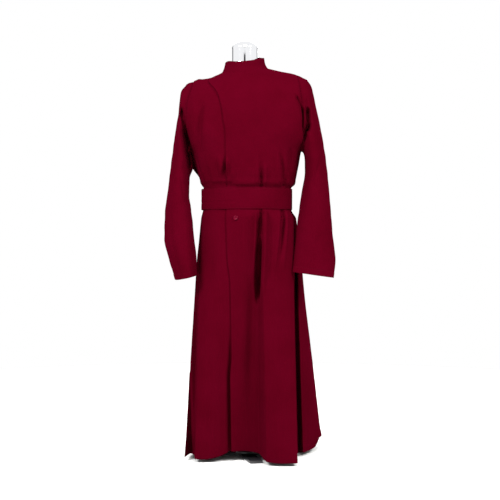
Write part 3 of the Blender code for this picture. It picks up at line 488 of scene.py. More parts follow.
def chart_normal(chart, angle, level):
    """Outward directions of the body surface, from one chart alone."""
    low, high = (-SIDE, SIDE) if chart == "front" else (SIDE, 360 - SIDE)
    right, left = np.minimum(angle + ANGLE_STEP, high), np.maximum(angle - ANGLE_STEP, low)
    above, below = np.minimum(level + LEVEL_STEP, NECK), np.maximum(level - LEVEL_STEP, -1)
    across = body(chart, right, level) - body(chart, left, level)
    rise = body(chart, angle, above) - body(chart, angle, below)
    return unit(np.cross(across, rise))


def body_normal(chart, angle, level):
    """Outward directions, shared by the front and the back where they meet at a seam."""
    angle, level = grids(angle, level)
    normal = chart_normal(chart, angle, level)
    other = "back" if chart == "front" else "front"
    for edges in ({"front": SIDE, "back": SIDE}, {"front": -SIDE, "back": 360 - SIDE}):
        edge, twin = edges[chart], edges[other]
        near = 1 - smooth(np.abs(angle - edge) / SEAM_BLEND)
        near = np.where((level > UNDERARM) & (level < SHOULDER), 0.0, near)
        shared = chart_normal(other, np.full_like(angle, twin), level)
        normal = unit(normal + shared * near[..., None])
    return normal


def lap_angle(level):
    return read(LAP["level"], LAP["angle"], level)


def lap_height(angle, level):
    """How far the upper front stands off the surface: by the layer under it, easing to nothing."""
    return (CLOTH + LAYER_GAP) * (1 - smooth((angle - lap_angle(level) - UNDERLAP) / LAP_FADE))


def crease_depth(rows, u, v, scale=(1.0, 1.0)):
    """How far the creases of a table press the cloth in. scale turns u and v into metres."""
    depth = np.zeros_like(u)
    for u0, v0, u1, v1, bow, width, deep, sharp, fade0, fade1 in zip(*rows.values()):
        du, dv = (u1 - u0) * scale[0], (v1 - v0) * scale[1]
        length = math.hypot(du, dv)
        pu, pv = (u - u0) * scale[0], (v - v0) * scale[1]
        along = (pu * du + pv * dv) / length ** 2
        side = math.copysign(1, dv if abs(dv) > abs(du) else -du)
        off = (pu * dv - pv * du) / length * side - bow * 4 * along * (1 - along)
        across = off / (width * (1 - sharp * np.sign(off)))
        ends = smooth(along / max(fade0, 0.01)) * smooth((1 - along) / max(fade1, 0.01))
        depth += deep * np.exp(-across ** 2 * 2) * ends
    return depth


def drawn(points, draws):
    """Points moved by the draws of a table, each from where the last one left them."""
    points = points.copy()
    for x0, y0, z0, x1, y1, z1, radius, dx, dy, dz in zip(*draws.values()):
        start, line = np.array([x0, y0, z0]), np.array([x1 - x0, y1 - y0, z1 - z0])
        along = np.clip((points - start) @ line / (line @ line), 0, 1)
        away = np.linalg.norm(points - start - along[..., None] * line, axis=-1)
        points += np.exp(-2 * (away / radius) ** 2)[..., None] * np.array([dx, dy, dz])
    return points


def dressed(points):
    """Points of the cloth, set and folded."""
    return drawn(drawn(points, SET_DRAWS), FOLD_DRAWS)


def settled(points, rounds):
    """A grid relaxed along its columns, so that no row shows as a line. Its edges stay."""
    points = points.copy()
    for _ in range(rounds):
        points[1:-1] += (points[:-2] + points[2:] - 2 * points[1:-1]) * 0.25
    return points


def unevenness(u, v, size, height):
    """Slow waves that keep a hung cloth from looking ruled, size across and height high."""
    k = 2 * math.pi / size
    waves = (np.sin(k * (u + 0.31 * v) + 0.7) + 0.7 * np.sin(k * 1.7 * (v - 0.4 * u) + 2.1)
             + 0.5 * np.sin(k * 2.3 * (u + 0.9 * v) + 4.0))
    return waves * height / 2.2


# ---- Cloth walls and other meshes ----

def distances(points, axis):
    """Length along the grid from its first row (axis 0) or column (axis 1), and from its last."""
    steps = np.linalg.norm(np.diff(points, axis=axis), axis=-1)
    run = np.cumsum(steps, axis=axis)
    zero = np.zeros_like(np.take(run, [0], axis=axis))
    run = np.concatenate([zero, run], axis=axis)
    return run, np.take(run, [-1], axis=axis) - run


def add_object(name, data, location=(0, 0, 0), rotation=(0, 0, 0)):
    """An object in the scene, where it belongs."""
    obj = bpy.data.objects.new(name, data)
    obj.location, obj.rotation_euler = location, rotation
    bpy.context.scene.collection.objects.link(obj)
    return obj


def add_mesh(name, points, faces, material, sharp=50, node=None):
    """An object from points and faces, smooth but for edges sharper than an angle, riding on the root."""
    mesh = bpy.data.meshes.new(name)
    mesh.from_pydata(points.tolist(), [], faces)
    mesh.validate()
    mesh.materials.append(material)
    mesh.shade_smooth()
    mesh.set_sharp_from_angle(angle=math.radians(sharp))
    obj = add_object(name, mesh)
    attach(obj, "root")
    if node:
        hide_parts(node)
    return obj


def outward(points, like):
    """Directions square to a grid of points, on the side that the directions in like are."""
    square = unit(np.cross(np.gradient(points, axis=1), np.gradient(points, axis=0)))
    return square * np.sign(np.sum(square * like))


def grid_faces(rows, columns, start, closed, flip):
    """Quads of a grid whose first point is start. closed joins its last column to its first."""
    i, j = np.meshgrid(np.arange(rows - 1), np.arange(columns if closed else columns - 1), indexing="ij")
    a = start + i * columns + j
    b = start + i * columns + (j + 1) % columns
    quads = np.stack([a, b, b + columns, a + columns], -1).reshape(-1, 4)
    return quads[:, ::-1] if flip else quads


def cloth_wall(name, outer, normals, thickness, material, closed=False, node=None):
    """A closed wall of cloth under a grid of points, rows by columns, with its edges rounded over."""
    rows, columns = outer.shape[:2]
    round_by = 0.45 * thickness
    low, high = unit(outer[0] - outer[1]), unit(outer[-1] - outer[-2])
    left, right = unit(outer[:, 0] - outer[:, 1]), unit(outer[:, -1] - outer[:, -2])
    middle = outer - normals * thickness / 2
    outer, inner = outer.copy(), outer - normals * thickness
    for face in (outer, inner):
        face[0] -= low * round_by
        face[-1] -= high * round_by
        if not closed:
            face[:, 0] -= left * round_by
            face[:, -1] -= right * round_by
    size = rows * columns
    faces = [grid_faces(rows, columns, 0, closed, False), grid_faces(rows, columns, size, closed, True)]
    j = np.arange(columns)
    if closed:
        rims = [j, ((rows - 1) * columns + j)[::-1]]
    else:
        i = np.arange(rows)
        rims = [np.concatenate([j, i[1:] * columns + columns - 1, (rows - 1) * columns + j[-2::-1],
                                i[-2:0:-1] * columns])]
    points, start = [outer.reshape(-1, 3), inner.reshape(-1, 3)], 2 * size
    for rim in rims:
        points.append(middle.reshape(-1, 3)[rim])
        ring = start + np.arange(len(rim))
        nxt, rim_next = np.roll(ring, -1), np.roll(rim, -1)
        faces.append(np.stack([rim, ring, nxt, rim_next], -1))
        faces.append(np.stack([ring, rim + size, rim_next + size, nxt], -1))
        start += len(rim)
    return add_mesh(name, np.concatenate(points), np.concatenate(faces).tolist(), material, 60, node)


def tube_faces(rows, columns):
    """Faces of closed rings of points, with a cap on the first and the last."""
    faces = grid_faces(rows, columns, 0, True, False).tolist()
    return faces + [list(range(columns))[::-1], list(range((rows - 1) * columns, rows * columns))]


def turned(name, profile, segments, material, slot, node=None, sharp=35):
    """A solid turned about Z from (radius, z) rows, bottom to top."""
    angle = np.arange(segments) * 2 * math.pi / segments
    radius, z = np.array(profile).T
    points = np.stack([np.outer(radius, np.cos(angle)), np.outer(radius, np.sin(angle)),
                       np.outer(z, np.ones(segments))], -1)
    faces = tube_faces(len(profile), segments)
    return add_mesh(name, points.reshape(-1, 3), faces, material, sharp, node)


# A stitch, on the hems and on the button: its length, the gap to the next, and the thread's radius.
HEM_STITCH = (0.0045, 0.0025, 0.00035)
BUTTON_STITCH = (0.0040, 0.0001, 0.00042)


def stitches(name, path, normals, stitch, gap, radius, material):
    """A row of thread stitches lying along a path of points on the cloth."""
    run = np.concatenate([[0], np.cumsum(np.linalg.norm(np.diff(path, axis=0), axis=1))])
    starts = np.arange(gap, run[-1] - stitch, stitch + gap)
    # Along each stitch: the share of its length, the share of its radius, and its height in radii.
    stations, plump, sink = np.array([(0.0, 0.35, -0.8), (0.18, 0.9, 0.1), (0.5, 1.0, 0.4), (0.82, 0.9, 0.1),
                                      (1.0, 0.35, -0.8)]).T
    turn = np.arange(6) * math.pi / 3
    at = starts[:, None] + stations * stitch
    middle = np.stack([np.interp(at, run, path[:, k]) for k in range(3)], -1)
    up = unit(np.stack([np.interp(at, run, normals[:, k]) for k in range(3)], -1))
    along = unit(np.gradient(middle, axis=1))
    side = unit(np.cross(along, up))
    ring = (side[:, :, None] * np.cos(turn)[:, None] + up[:, :, None] * np.sin(turn)[:, None])
    points = (middle + up * (sink * radius)[:, None])[:, :, None] + ring * (plump * radius)[:, None, None]
    one = tube_faces(5, 6)
    faces = [[k * 30 + corner for corner in face] for k in range(len(starts)) for face in one]
    return add_mesh(name, points.reshape(-1, 3), faces, material, 70)


# ---- Materials ----

def linear(hex_colour):
    """An sRGB hex colour as linear red, green, blue and alpha."""
    values = [int(hex_colour[i:i + 2], 16) / 255 for i in (1, 3, 5)]
    return (*(v / 12.92 if v <= 0.04045 else ((v + 0.055) / 1.055) ** 2.4 for v in values), 1.0)


def add_node(tree, kind, settings=None, links=None):
    """One node, with settings for its properties or sockets, and links from other nodes' outputs."""
    node = tree.nodes.new(kind)
    for key, value in (settings or {}).items():
        if isinstance(key, int) or key in node.inputs:
            node.inputs[key].default_value = value
        else:
            setattr(node, key, value)
    for key, source in (links or {}).items():
        tree.links.new(source, node.inputs[key])
    return node


class Finish:
    """A material being made, with its Principled shader and the object's own coordinates."""

    def __init__(self, name, settings):
        self.material = bpy.data.materials.new(name)
        self.material.use_nodes = True
        self.tree = self.material.node_tree
        self.shader = self.tree.nodes["Principled BSDF"]
        self.place = add_node(self.tree, "ShaderNodeTexCoord").outputs["Object"]
        for key, value in settings.items():
            self.shader.inputs[key].default_value = value

    def texture(self, kind, settings, vector=None):
        """The Fac of a Noise or Wave texture."""
        node = add_node(self.tree, "ShaderNodeTex" + kind, settings, {"Vector": vector or self.place})
        return node.outputs["Fac"]

    def give(self, socket, source):
        self.tree.links.new(source, self.shader.inputs[socket])

    def relief(self, height, strength, distance):
        """Relief too fine for the mesh."""
        node = add_node(self.tree, "ShaderNodeBump", {"Strength": strength, "Distance": distance},
                        {"Height": height})
        self.give("Normal", node.outputs["Normal"])

    def roughness(self, source, low, high):
        node = add_node(self.tree, "ShaderNodeMapRange", {"To Min": low, "To Max": high}, {"Value": source})
        self.give("Roughness", node.outputs[0])

    def shades(self, source, colour, *stops):
        """A colour varied through stops, each a place and what it multiplies red, green and blue by."""
        node = add_node(self.tree, "ShaderNodeValToRGB", links={"Fac": source})
        while len(node.color_ramp.elements) < len(stops):
            node.color_ramp.elements.new(0.5)
        for element, (place, *share) in zip(node.color_ramp.elements, stops):
            element.position, element.color = place, (*(c * k for c, k in zip(colour, share)), 1.0)
        return node.outputs["Color"]


def worsted_cloth(name, colour, thread):
    """Worsted gabardine, piece-dyed and pressed. It gives the eye a deep even colour that hardly shines,
    a steep fine twill line, slow variation where it has been handled, and a soft bloom at its edges."""
    finish = Finish(name, {
        "Roughness": 0.72, "Specular IOR Level": 0.0,
        "Sheen Weight": 0.05, "Sheen Roughness": 0.40, "Sheen Tint": (0.45, 0.008, 0.06, 1.0)})
    # The twill line stands at 63 degrees. Its ribs are one thread apart.
    twill = add_node(finish.tree, "ShaderNodeMapping", {"Rotation": (math.radians(27), 0, math.radians(40))},
                     {"Vector": finish.place})
    ribs = finish.texture("Wave", {"bands_direction": "Z", "Scale": 1 / (thread * 10), "Distortion": 0.6,
                                   "Detail": 1.0, "Detail Scale": 3.0}, twill.outputs["Vector"])
    fibres = finish.texture("Noise", {"Scale": 1400.0, "Detail": 3.0})
    slow = finish.texture("Noise", {"Scale": 7.0, "Detail": 3.0, "Roughness": 0.55})
    height = add_node(finish.tree, "ShaderNodeMath", {"operation": "MULTIPLY_ADD", 1: 0.6},
                      {0: ribs, 2: fibres})
    finish.relief(height.outputs[0], 0.08, thread * 0.35)
    shade = finish.shades(slow, colour, (0.30, 0.88, 0.80, 0.82), (0.55, 1, 1, 1), (0.80, 1.08, 1.25, 1.16))
    grain = finish.shades(fibres, (1, 1, 1), (0.35, 0.90, 0.90, 0.90), (0.65, 1, 1, 1))
    mixed = add_node(finish.tree, "ShaderNodeMix", {"data_type": "RGBA", "blend_type": "MULTIPLY", 0: 1.0},
                     {6: shade, 7: grain})
    finish.give("Base Color", mixed.outputs[2])
    return finish.material


def sewing_thread(name, colour):
    """Spun polyester thread, dyed to match. Its twist catches a little more light than the cloth."""
    finish = Finish(name, {"Base Color": colour, "Roughness": 0.55, "Specular IOR Level": 0.05})
    twist = finish.texture("Wave", {"bands_direction": "DIAGONAL", "Scale": 320.0})
    finish.relief(twist, 0.4, 0.0001)
    return finish.material


def cast_polyester(name, colour):
    """Cast polyester resin, dyed through and tumble-polished. It has a faint cloudy depth."""
    finish = Finish(name, {"Roughness": 0.16, "IOR": 1.54, "Specular IOR Level": 0.02})
    cloud = finish.texture("Noise", {"Scale": 260.0, "Detail": 2.0})
    finish.give("Base Color", finish.shades(cloud, colour, (0.35, 0.8, 0.8, 0.8), (0.7, 1.15, 1.2, 1.2)))
    return finish.material


def cotton_jersey(name, colour):
    """Cotton jersey, knitted and stretched over the form. It is matt, with fine upright ribs."""
    finish = Finish(name, {"Roughness": 0.9, "Sheen Weight": 0.15})
    ribs = finish.texture("Wave", {"bands_direction": "X", "Scale": 90.0, "Distortion": 1.5})
    finish.relief(ribs, 0.3, 0.0004)
    noise = finish.texture("Noise", {"Scale": 500.0})
    finish.give("Base Color", finish.shades(noise, colour, (0.3, 0.9, 0.9, 0.9), (0.7, 1, 1, 1)))
    return finish.material


def chromed_steel(name, colour):
    """Spun steel, chrome plated. It mirrors the room, with faint haze from polishing."""
    finish = Finish(name, {"Base Color": colour, "Metallic": 1.0})
    finish.roughness(finish.texture("Noise", {"Scale": 60.0, "Detail": 4.0}), 0.02, 0.05)
    return finish.material


def stoved_enamel(name, colour):
    """Mild steel, stove enamelled in satin black. It has a faint orange peel and soft highlights."""
    finish = Finish(name, {"Base Color": colour, "IOR": 1.5, "Coat Weight": 0.2, "Coat Roughness": 0.25})
    finish.relief(finish.texture("Noise", {"Scale": 420.0, "Detail": 1.0}), 0.12, 0.0003)
    finish.roughness(finish.texture("Noise", {"Scale": 30.0, "Detail": 5.0}), 0.32, 0.5)
    return finish.material


def studio_paint(name, colour):
    """Matt studio paint, rolled on, barely mottled: the white floor, and the black flags."""
    finish = Finish(name, {"Roughness": 0.85, "Specular IOR Level": 0.2})
    mottle = finish.texture("Noise", {"Scale": 9.0, "Detail": 3.0})
    finish.give("Base Color", finish.shades(mottle, colour, (0.3, 0.985, 0.985, 0.985), (0.7, 1, 1, 1)))
    return finish.material


def finish_of(name, maker, *details):
    """A material by name, made the first time it is asked for."""
    return bpy.data.materials.get(name) or maker(name, *details)


def wool():
    settings = bpy.context.scene.cassock_cloth
    return finish_of("crimson worsted gabardine", worsted_cloth, (*settings.colour, 1.0), settings.thread)


def thread():
    colour = (*bpy.context.scene.cassock_cloth.thread_colour, 1.0)
    return finish_of("crimson sewing thread", sewing_thread, colour)


# ---- Settings ----

class CassockCloth(bpy.types.PropertyGroup):
    """Sizes and colours of the garment's cloth and sewing."""
    colour: FloatVectorProperty(
        name="Cloth colour", description="Dye of the cloth", subtype="COLOR", size=3, min=0, max=1,
        default=linear("#3a010c")[:3])
    thread_colour: FloatVectorProperty(
        name="Thread colour", description="Dye of the sewing thread", subtype="COLOR", size=3, min=0, max=1,
        default=linear("#36010b")[:3])
    thread: FloatProperty(
        name="Twill line", description="From one line of the twill to the next; the real one is about "
        "0.5 mm, drawn coarser so that it shows", default=0.0012, unit="LENGTH")
    hem: FloatProperty(
        name="Hem depth", description="Depth of the turned hem of the skirt", default=0.026, unit="LENGTH")
    cuff: FloatProperty(
        name="Cuff hem depth", description="Depth of the turned hem of each cuff", default=0.022,
        unit="LENGTH")
    step: FloatProperty(
        name="Column step", description="Degrees round the body from one column of points to the next",
        default=1.15)


class CassockForm(bpy.types.PropertyGroup):
    """Colours of the dress form."""
    cover: FloatVectorProperty(
        name="Cover colour", description="Jersey over the torso", subtype="COLOR", size=3, min=0, max=1,
        default=linear("#d9d2c3")[:3])
    chrome: FloatVectorProperty(
        name="Neck colour", description="Colour of the plated neck", subtype="COLOR", size=3, min=0, max=1,
        default=linear("#f2f3f5")[:3])
    enamel: FloatVectorProperty(
        name="Stand colour", description="Enamel of the pole and foot", subtype="COLOR", size=3, min=0,
        max=1, default=linear("#17161a")[:3])
    segments: IntProperty(
        name="Neck segments", description="Points round the plated neck", default=96, min=12)


class CassockStage(bpy.types.PropertyGroup):
    """The studio: floor, light and camera."""
    floor: FloatVectorProperty(
        name="Floor colour", description="Paint of the floor", subtype="COLOR", size=3, min=0, max=1,
        default=linear("#dededc")[:3])
    sky: FloatProperty(name="Room light", description="Strength of the light from all round", default=1.0)
    key: FloatProperty(name="Key light", description="Power of the front light in watts", default=262.0)
    lens: FloatProperty(name="Lens", description="Focal length in millimetres", default=78.26)


# ---- Panels of the body ----

BODY_ROWS = spread(-1.0, 12, -0.95, 104, -0.05, 14, 0.0, 5, 1.0, 7, 2.0, 9, 3.0, 11, 4.0, 48, 8.0, 10,
                   9.0, 8, 10.0)
SETTLE_ROUNDS = 30
EDGE_HOLD = 0.030
BODY_RADIUS = 0.19
LAP_METRES = 0.0021
# The cloth blouses over the band, and is nipped just above it: height, rise over the band, half extent.
BLOUSE = (0.0030, 0.016, 0.020)
NIP = (-0.0025, 0.003, 0.010)

# Swells of the cloth, and dips where height is below 0: each is centred on the level z and on a distance
# off an edge, and soft out to z_half and off_half.
SWELL = "height z z_half off off_half"
# The free edge stands open a little above the band, and where it turns onto the shoulder.
FREE_EDGE_SWELLS = table(SWELL, [
    (0.018, 1.052, 0.045, 0, 0.014),
    (0.004, 1.335, 0.045, 0, 0.028),
])
# The lower front rises and sinks beside that opening.
UNDER_LAP_SWELLS = table(SWELL, [
    (0.014,  1.052, 0.05, -0.015, 0.01),
    (-0.005, 1.052, 0.05, -0.004, 0.008),
])
# It fills out beside the underarm, and so does the back.
FRONT_SIDE_SWELLS = table(SWELL, [(0.0050, 1.085, 0.050, 0.0, 0.040)])
BACK_SIDE_SWELLS = table(SWELL, [(0.0200, 1.075, 0.068, 0.0, 0.060)])
# The lower front sinks away along the lap, in full from fade below z_top.
LAP_SINKS = table("depth off off_half z_top fade", [
    (0.003, 0,      0.007, 1.34, 0.05),
    (0.018, -0.003, 0.008, 0.5,  0.22),
])


def panel(chart, angles, height, creases, features):
    """A panel of the body: angles is the grid of its columns, height its stand-off, creases its table,
    and features presses in or raises the cloth by the distances from the panel's edges."""
    level = BODY_ROWS[:, None]
    normal = body_normal(chart, angles, level)
    points = body(chart, angles, level)
    bodice = slice(int(np.searchsorted(BODY_ROWS, 1.0)), None)
    raw = points[bodice].copy()
    points[bodice], normal[bodice] = settled(raw, SETTLE_ROUNDS), unit(settled(normal[bodice], SETTLE_ROUNDS))
    # The side edges keep their own line, so that the corners at the seams meet.
    for edge, off_edge in zip((0, -1), distances(raw, 1)):
        if abs(np.broadcast_to(angles, points.shape[:2])[0, edge] % 180 - 90) < 0.1:
            points[bodice] += (raw - points[bodice])[:, [edge]] * bump(off_edge / EDGE_HOLD)[..., None]
    first, last = unit(points[:, 1] - points[:, 0]), unit(points[:, -2] - points[:, -1])
    points[:, 0] -= first * SEAM_LAP
    points[:, -1] -= last * SEAM_LAP
    z = points[..., 2]
    lift = height - crease_depth(creases, points[..., 0], z)
    lift += unevenness(np.radians(angles) * BODY_RADIUS, z, 0.16, 0.0012) * free(level)
    for height, rise, half in (BLOUSE, NIP):
        lift += height * bump((z - WAIST_TOP_Z - rise) / half)
    lift += features(points, angles, level)
    points = dressed(points + normal * lift[..., None])
    return points, outward(points, normal)


def free(level):
    """1 where the cloth hangs free, 0 where it is held: by the band, and at its edges."""
    return smooth(np.abs(level - 0.5) / 1.5 - 0.4) * smooth((NECK - level) / 1.0)


def seam(distance):
    """A pressed seam: the cloth dips into it, and its allowance shows as a faint ridge beside it."""
    return -0.0011 * bump(distance / 0.004) + 0.0005 * bump((distance - 0.012) / 0.007)


def blind_hem(distance, depth):
    """A turned hem sewn from behind: the faint edge of its fold shows through the cloth."""
    return 0.0004 * (1 - smooth((distance - depth) / 0.004 + 0.5))


def turned_hem(distance, depth):
    """A turned hem: two layers below its row of stitches, and the dimple of the stitches."""
    past = (distance - depth) / 0.003
    return 0.0007 * (1 - smooth(past + 0.5) - bump(past))


def swelling(rows, z, off):
    """The height of the swells of a table, at the levels z and the distances off an edge."""
    return sum(height * bump((z - z_mid) / z_half) * bump((off - off_mid) / off_half)
               for height, z_mid, z_half, off_mid, off_half in zip(*rows.values()))


def edges_of(points):
    """What a panel's hem raises, and how far its points are from its first and its last column."""
    hem = blind_hem(distances(points, 0)[0], bpy.context.scene.cassock_cloth.hem)
    return (hem, *distances(points, 1))


def off_armhole(lift, level):
    """A lift where a side edge is seamed to the other panel, and none along the armhole."""
    return np.where((level < UNDERARM + 0.01) | (level > SHOULDER - 0.01), lift, 0.0)


def left_features(points, angles, level):
    lift, from_first, from_last = edges_of(points)
    lift += off_armhole(seam(from_last), level)
    return lift + swelling(FREE_EDGE_SWELLS, points[..., 2], from_first)


def right_features(points, angles, level):
    lift, from_first, _ = edges_of(points)
    lift += off_armhole(seam(from_first), level)
    z, off_lap = points[..., 2], (angles - lap_angle(level)) * LAP_METRES
    for depth, off, off_half, z_top, fade in zip(*LAP_SINKS.values()):
        lift -= depth * bump((off_lap - off) / off_half) * smooth((z_top - z) / fade)
    return lift + swelling(UNDER_LAP_SWELLS, z, off_lap) + swelling(FRONT_SIDE_SWELLS, z, from_first)


def back_features(points, angles, level):
    lift, from_first, from_last = edges_of(points)
    lift += seam(np.minimum(from_first, from_last))
    return lift + swelling(BACK_SIDE_SWELLS, points[..., 2], from_last)


def hem_stitches(name, points, normals, depth):
    """A row of stitches at a depth above the first row of a grid."""
    up, _ = distances(points, 0)
    place = np.array([np.searchsorted(up[:, j], depth) for j in range(points.shape[1])])
    j = np.arange(points.shape[1])
    low, high = up[place - 1, j], up[place, j]
    t = ((depth - low) / (high - low))[:, None]
    path = lerp(points[place - 1, j], points[place, j], t)
    return stitches(name, path, normals[place, j], *HEM_STITCH, thread())


def front_angles(skirt_angles, level):
    """Where the columns of the fronts, named by their angles in the skirt, lie at each level."""
    def marks(at):
        return [-SIDE, lap_angle(at), lap_angle(at) + UNDERLAP, SIDE]

    return np.array([np.interp(skirt_angles, marks(-1.0), marks(row)) for row in level])


class CassockFronts(bpy.types.Operator):
    """Build the two lapped fronts"""
    bl_idname = "cassock.fronts"
    bl_label = "Fronts"

    def execute(self, context):
        settings = context.scene.cassock_cloth
        lap = float(lap_angle(-1.0))
        step = settings.step
        columns = spread(lap, int((8 - lap) / step), 8, 36, 26, int(54 / step), 80, 28, SIDE)
        angles = front_angles(columns, BODY_ROWS)
        stand = lap_height(angles, BODY_ROWS[:, None])
        points, normal = panel("front", angles, stand, FRONT_CREASES, left_features)
        left = cloth_wall("left_front_cloth", points, normal, CLOTH, wool(), node="front_left")
        columns = spread(-SIDE, 20, -80, int((80 + lap + UNDERLAP) / step), lap + UNDERLAP)
        angles = front_angles(columns, BODY_ROWS)
        points, normal = panel("front", angles, np.zeros(angles.shape), FRONT_CREASES, right_features)
        right = cloth_wall("right_front_cloth", points, normal, CLOTH, wool(), node="front_right")
        return {"FINISHED"}


class CassockBack(bpy.types.Operator):
    """Build the back"""
    bl_idname = "cassock.back"
    bl_label = "Back"

    def execute(self, context):
        settings = context.scene.cassock_cloth
        columns = spread(SIDE, 28, SIDE + 10, int(164 / settings.step), 264, 12, 360 - SIDE)
        angles = np.tile(columns, (len(BODY_ROWS), 1))
        points, normal = panel("back", angles, np.zeros(angles.shape), BACK_CREASES, back_features)
        back = cloth_wall("back_cloth", points, normal, CLOTH, wool(), node="back")
        return {"FINISHED"}


# ---- Sleeves ----

SLEEVE_ROWS = spread(0.0, 10, 0.5, 100, 8.5, 16, 9.0)
HEAD_ROWS = [-0.5, -0.4, -0.3, -0.2, -0.1]
SLEEVE_COLUMNS = 96
SLEEVE_RADIUS = 0.06
SLEEVE_DEGREE = 0.0011
SLEEVE_LEVEL = 0.078
# Where the sleeve's head starts and where it comes out: how far in from the armhole's edge, and inside it.
HEAD_START = (0.0070, 0.0035)
HEAD_OUT = (0.0005, -0.0004)
# On a sleeve: u in degrees round it (90 in front, 0 outermost), v the level down it.
LEFT_SLEEVE_CREASES = table(CREASE, [
    (120, 0.3, 100, 2.6, 0.004, 0.01,  0.006,  0.2, 0.1, 0.6),
    (75,  0.6, 84,  3,   0.004, 0.014, 0.003,  0,   0.3, 0.6),
    (60,  4,   120, 5.2, 0.004, 0.012, 0.003,  0,   0.4, 0.4),
    (70,  6.4, 100, 8.9, 0.003, 0.012, 0.0022, 0,   0.4, 0.2),
    (250, 3.6, 290, 5,   0.004, 0.014, 0.005,  0,   0.4, 0.4),
    (255, 5,   300, 6,   0.004, 0.014, 0.0045, 0,   0.4, 0.4),
    (270, 0.4, 262, 3,   0.004, 0.014, 0.004,  0,   0.2, 0.6),
])
RIGHT_SLEEVE_CREASES = table(CREASE, [
    (50,  0.5, 46,  3.4, 0.004, 0.018, 0.003,  0, 0.3, 0.6),
    (45,  5,   50,  9,   0.002, 0.012, 0.003,  0, 0.4, 0.1),
    (80,  4,   120, 5.4, 0.004, 0.014, 0.003,  0, 0.4, 0.4),
    (100, 6,   84,  8.6, 0.004, 0.014, 0.0025, 0, 0.4, 0.4),
    (250, 3.8, 300, 5,   0.004, 0.014, 0.005,  0, 0.4, 0.4),
    (255, 5.2, 300, 6.2, 0.004, 0.014, 0.0045, 0, 0.4, 0.4),
    (270, 0.4, 262, 3,   0.004, 0.014, 0.004,  0, 0.2, 0.6),
    (180, 0.6, 180, 3.8, 0,     0.06,  -0.011, 0, 0.3, 0.45),
    (180, 7,   180, 9.6, 0,     0.05,  -0.009, 0, 0.5, 0.05),
])


def sleeve_grid(rows, side, angle):
    """Points of a sleeve from the armhole to the cuff, rows by columns."""
    keys = np.arange(len(rows["y"]))
    values = {name: read(keys, rows[name], SLEEVE_ROWS)[:, None] for name in rows}
    c, s = cos_sin(angle)
    x = lerp(values["inner_x"], values["outer_x"], (1 + c) / 2) + values["lean"] * s
    y = values["y"] - values["depth"] * s
    grid = np.stack([x, y, lerp(values["inner_z"], values["outer_z"], (1 + c) / 2)], -1)
    edge = placed(armhole(side, angle) + np.array([SECTIONS["centre"][UNDERARM], 0, 0]))
    inward = unit((edge.mean(axis=0) - edge) * np.array([0, 1, 1]))
    # Its head starts a little way under the body, and comes out over the armhole's edge.
    under, over = (edge - np.array([side, 0, 0]) * back + inward * inside
                   for back, inside in (HEAD_START, HEAD_OUT))
    lead = [under, lerp(under, over, 0.5), over, lerp(over, grid[0], 0.33), lerp(over, grid[0], 0.67)]
    return np.concatenate([lead, grid])


def ring_normals(grid, side):
    """Outward directions of a sleeve's closed rings."""
    along = np.roll(grid, -1, axis=1) - np.roll(grid, 1, axis=1)
    above = np.gradient(grid, axis=0)
    return unit(np.cross(along, above)) * side


class CassockSleeves(bpy.types.Operator):
    """Build the two set-in sleeves"""
    bl_idname = "cassock.sleeves"
    bl_label = "Sleeves"

    def execute(self, context):
        settings = context.scene.cassock_cloth
        for name, rows, side, creases in (("sleeve_left", LEFT_SLEEVE, 1, LEFT_SLEEVE_CREASES),
                                          ("sleeve_right", RIGHT_SLEEVE, -1, RIGHT_SLEEVE_CREASES)):
            angle = np.arange(SLEEVE_COLUMNS) * 360 / SLEEVE_COLUMNS
            grid = sleeve_grid(rows, side, angle)
            normal = ring_normals(grid, side)
            turn, level = np.broadcast_arrays(angle, np.concatenate([HEAD_ROWS, SLEEVE_ROWS])[:, None])
            down, up = distances(grid, 0)
            lift = -crease_depth(creases, turn, level, (SLEEVE_DEGREE, SLEEVE_LEVEL))
            lift += unevenness(np.radians(turn) * SLEEVE_RADIUS, up, 0.11, 0.0010) * smooth(down / 0.04)
            lift += turned_hem(up, settings.cuff)
            points = dressed(grid + normal * lift[..., None])
            normal = ring_normals(points, side)
            if side < 0:
                points, normal = points[:, ::-1], normal[:, ::-1]
            obj = cloth_wall(name + "_cloth", points, normal, CLOTH, wool(), closed=True, node=name)
            sewn = hem_stitches(name + "_hem_stitches", points[::-1], normal[::-1], settings.cuff)
        return {"FINISHED"}


# ---- Collar, band and button ----

def charted(angle):
    """Which angles right round are on the front's chart, and each angle as its own chart counts it."""
    angle = wrapped(angle)
    front = np.abs(angle) <= SIDE
    return front, np.where(~front & (angle < 0), angle + 360, angle)


def around(turns, level, normal_level=None):
    """Body points and outward directions at a level, at angles right round."""
    front, angle = charted(turns)
    points = np.where(front[:, None], body("front", angle, level), body("back", angle, level))
    at = level if normal_level is None else normal_level
    normal = np.where(front[:, None], body_normal("front", angle, at), body_normal("back", angle, at))
    return front, angle, points, normal


def band_lift(turned, lap, thickness):
    """How far the first stretch of a lapped band stands off, over its own hidden end."""
    return (thickness + LAYER_GAP) * (1 - smooth((turned - lap) / LAP_EASE))


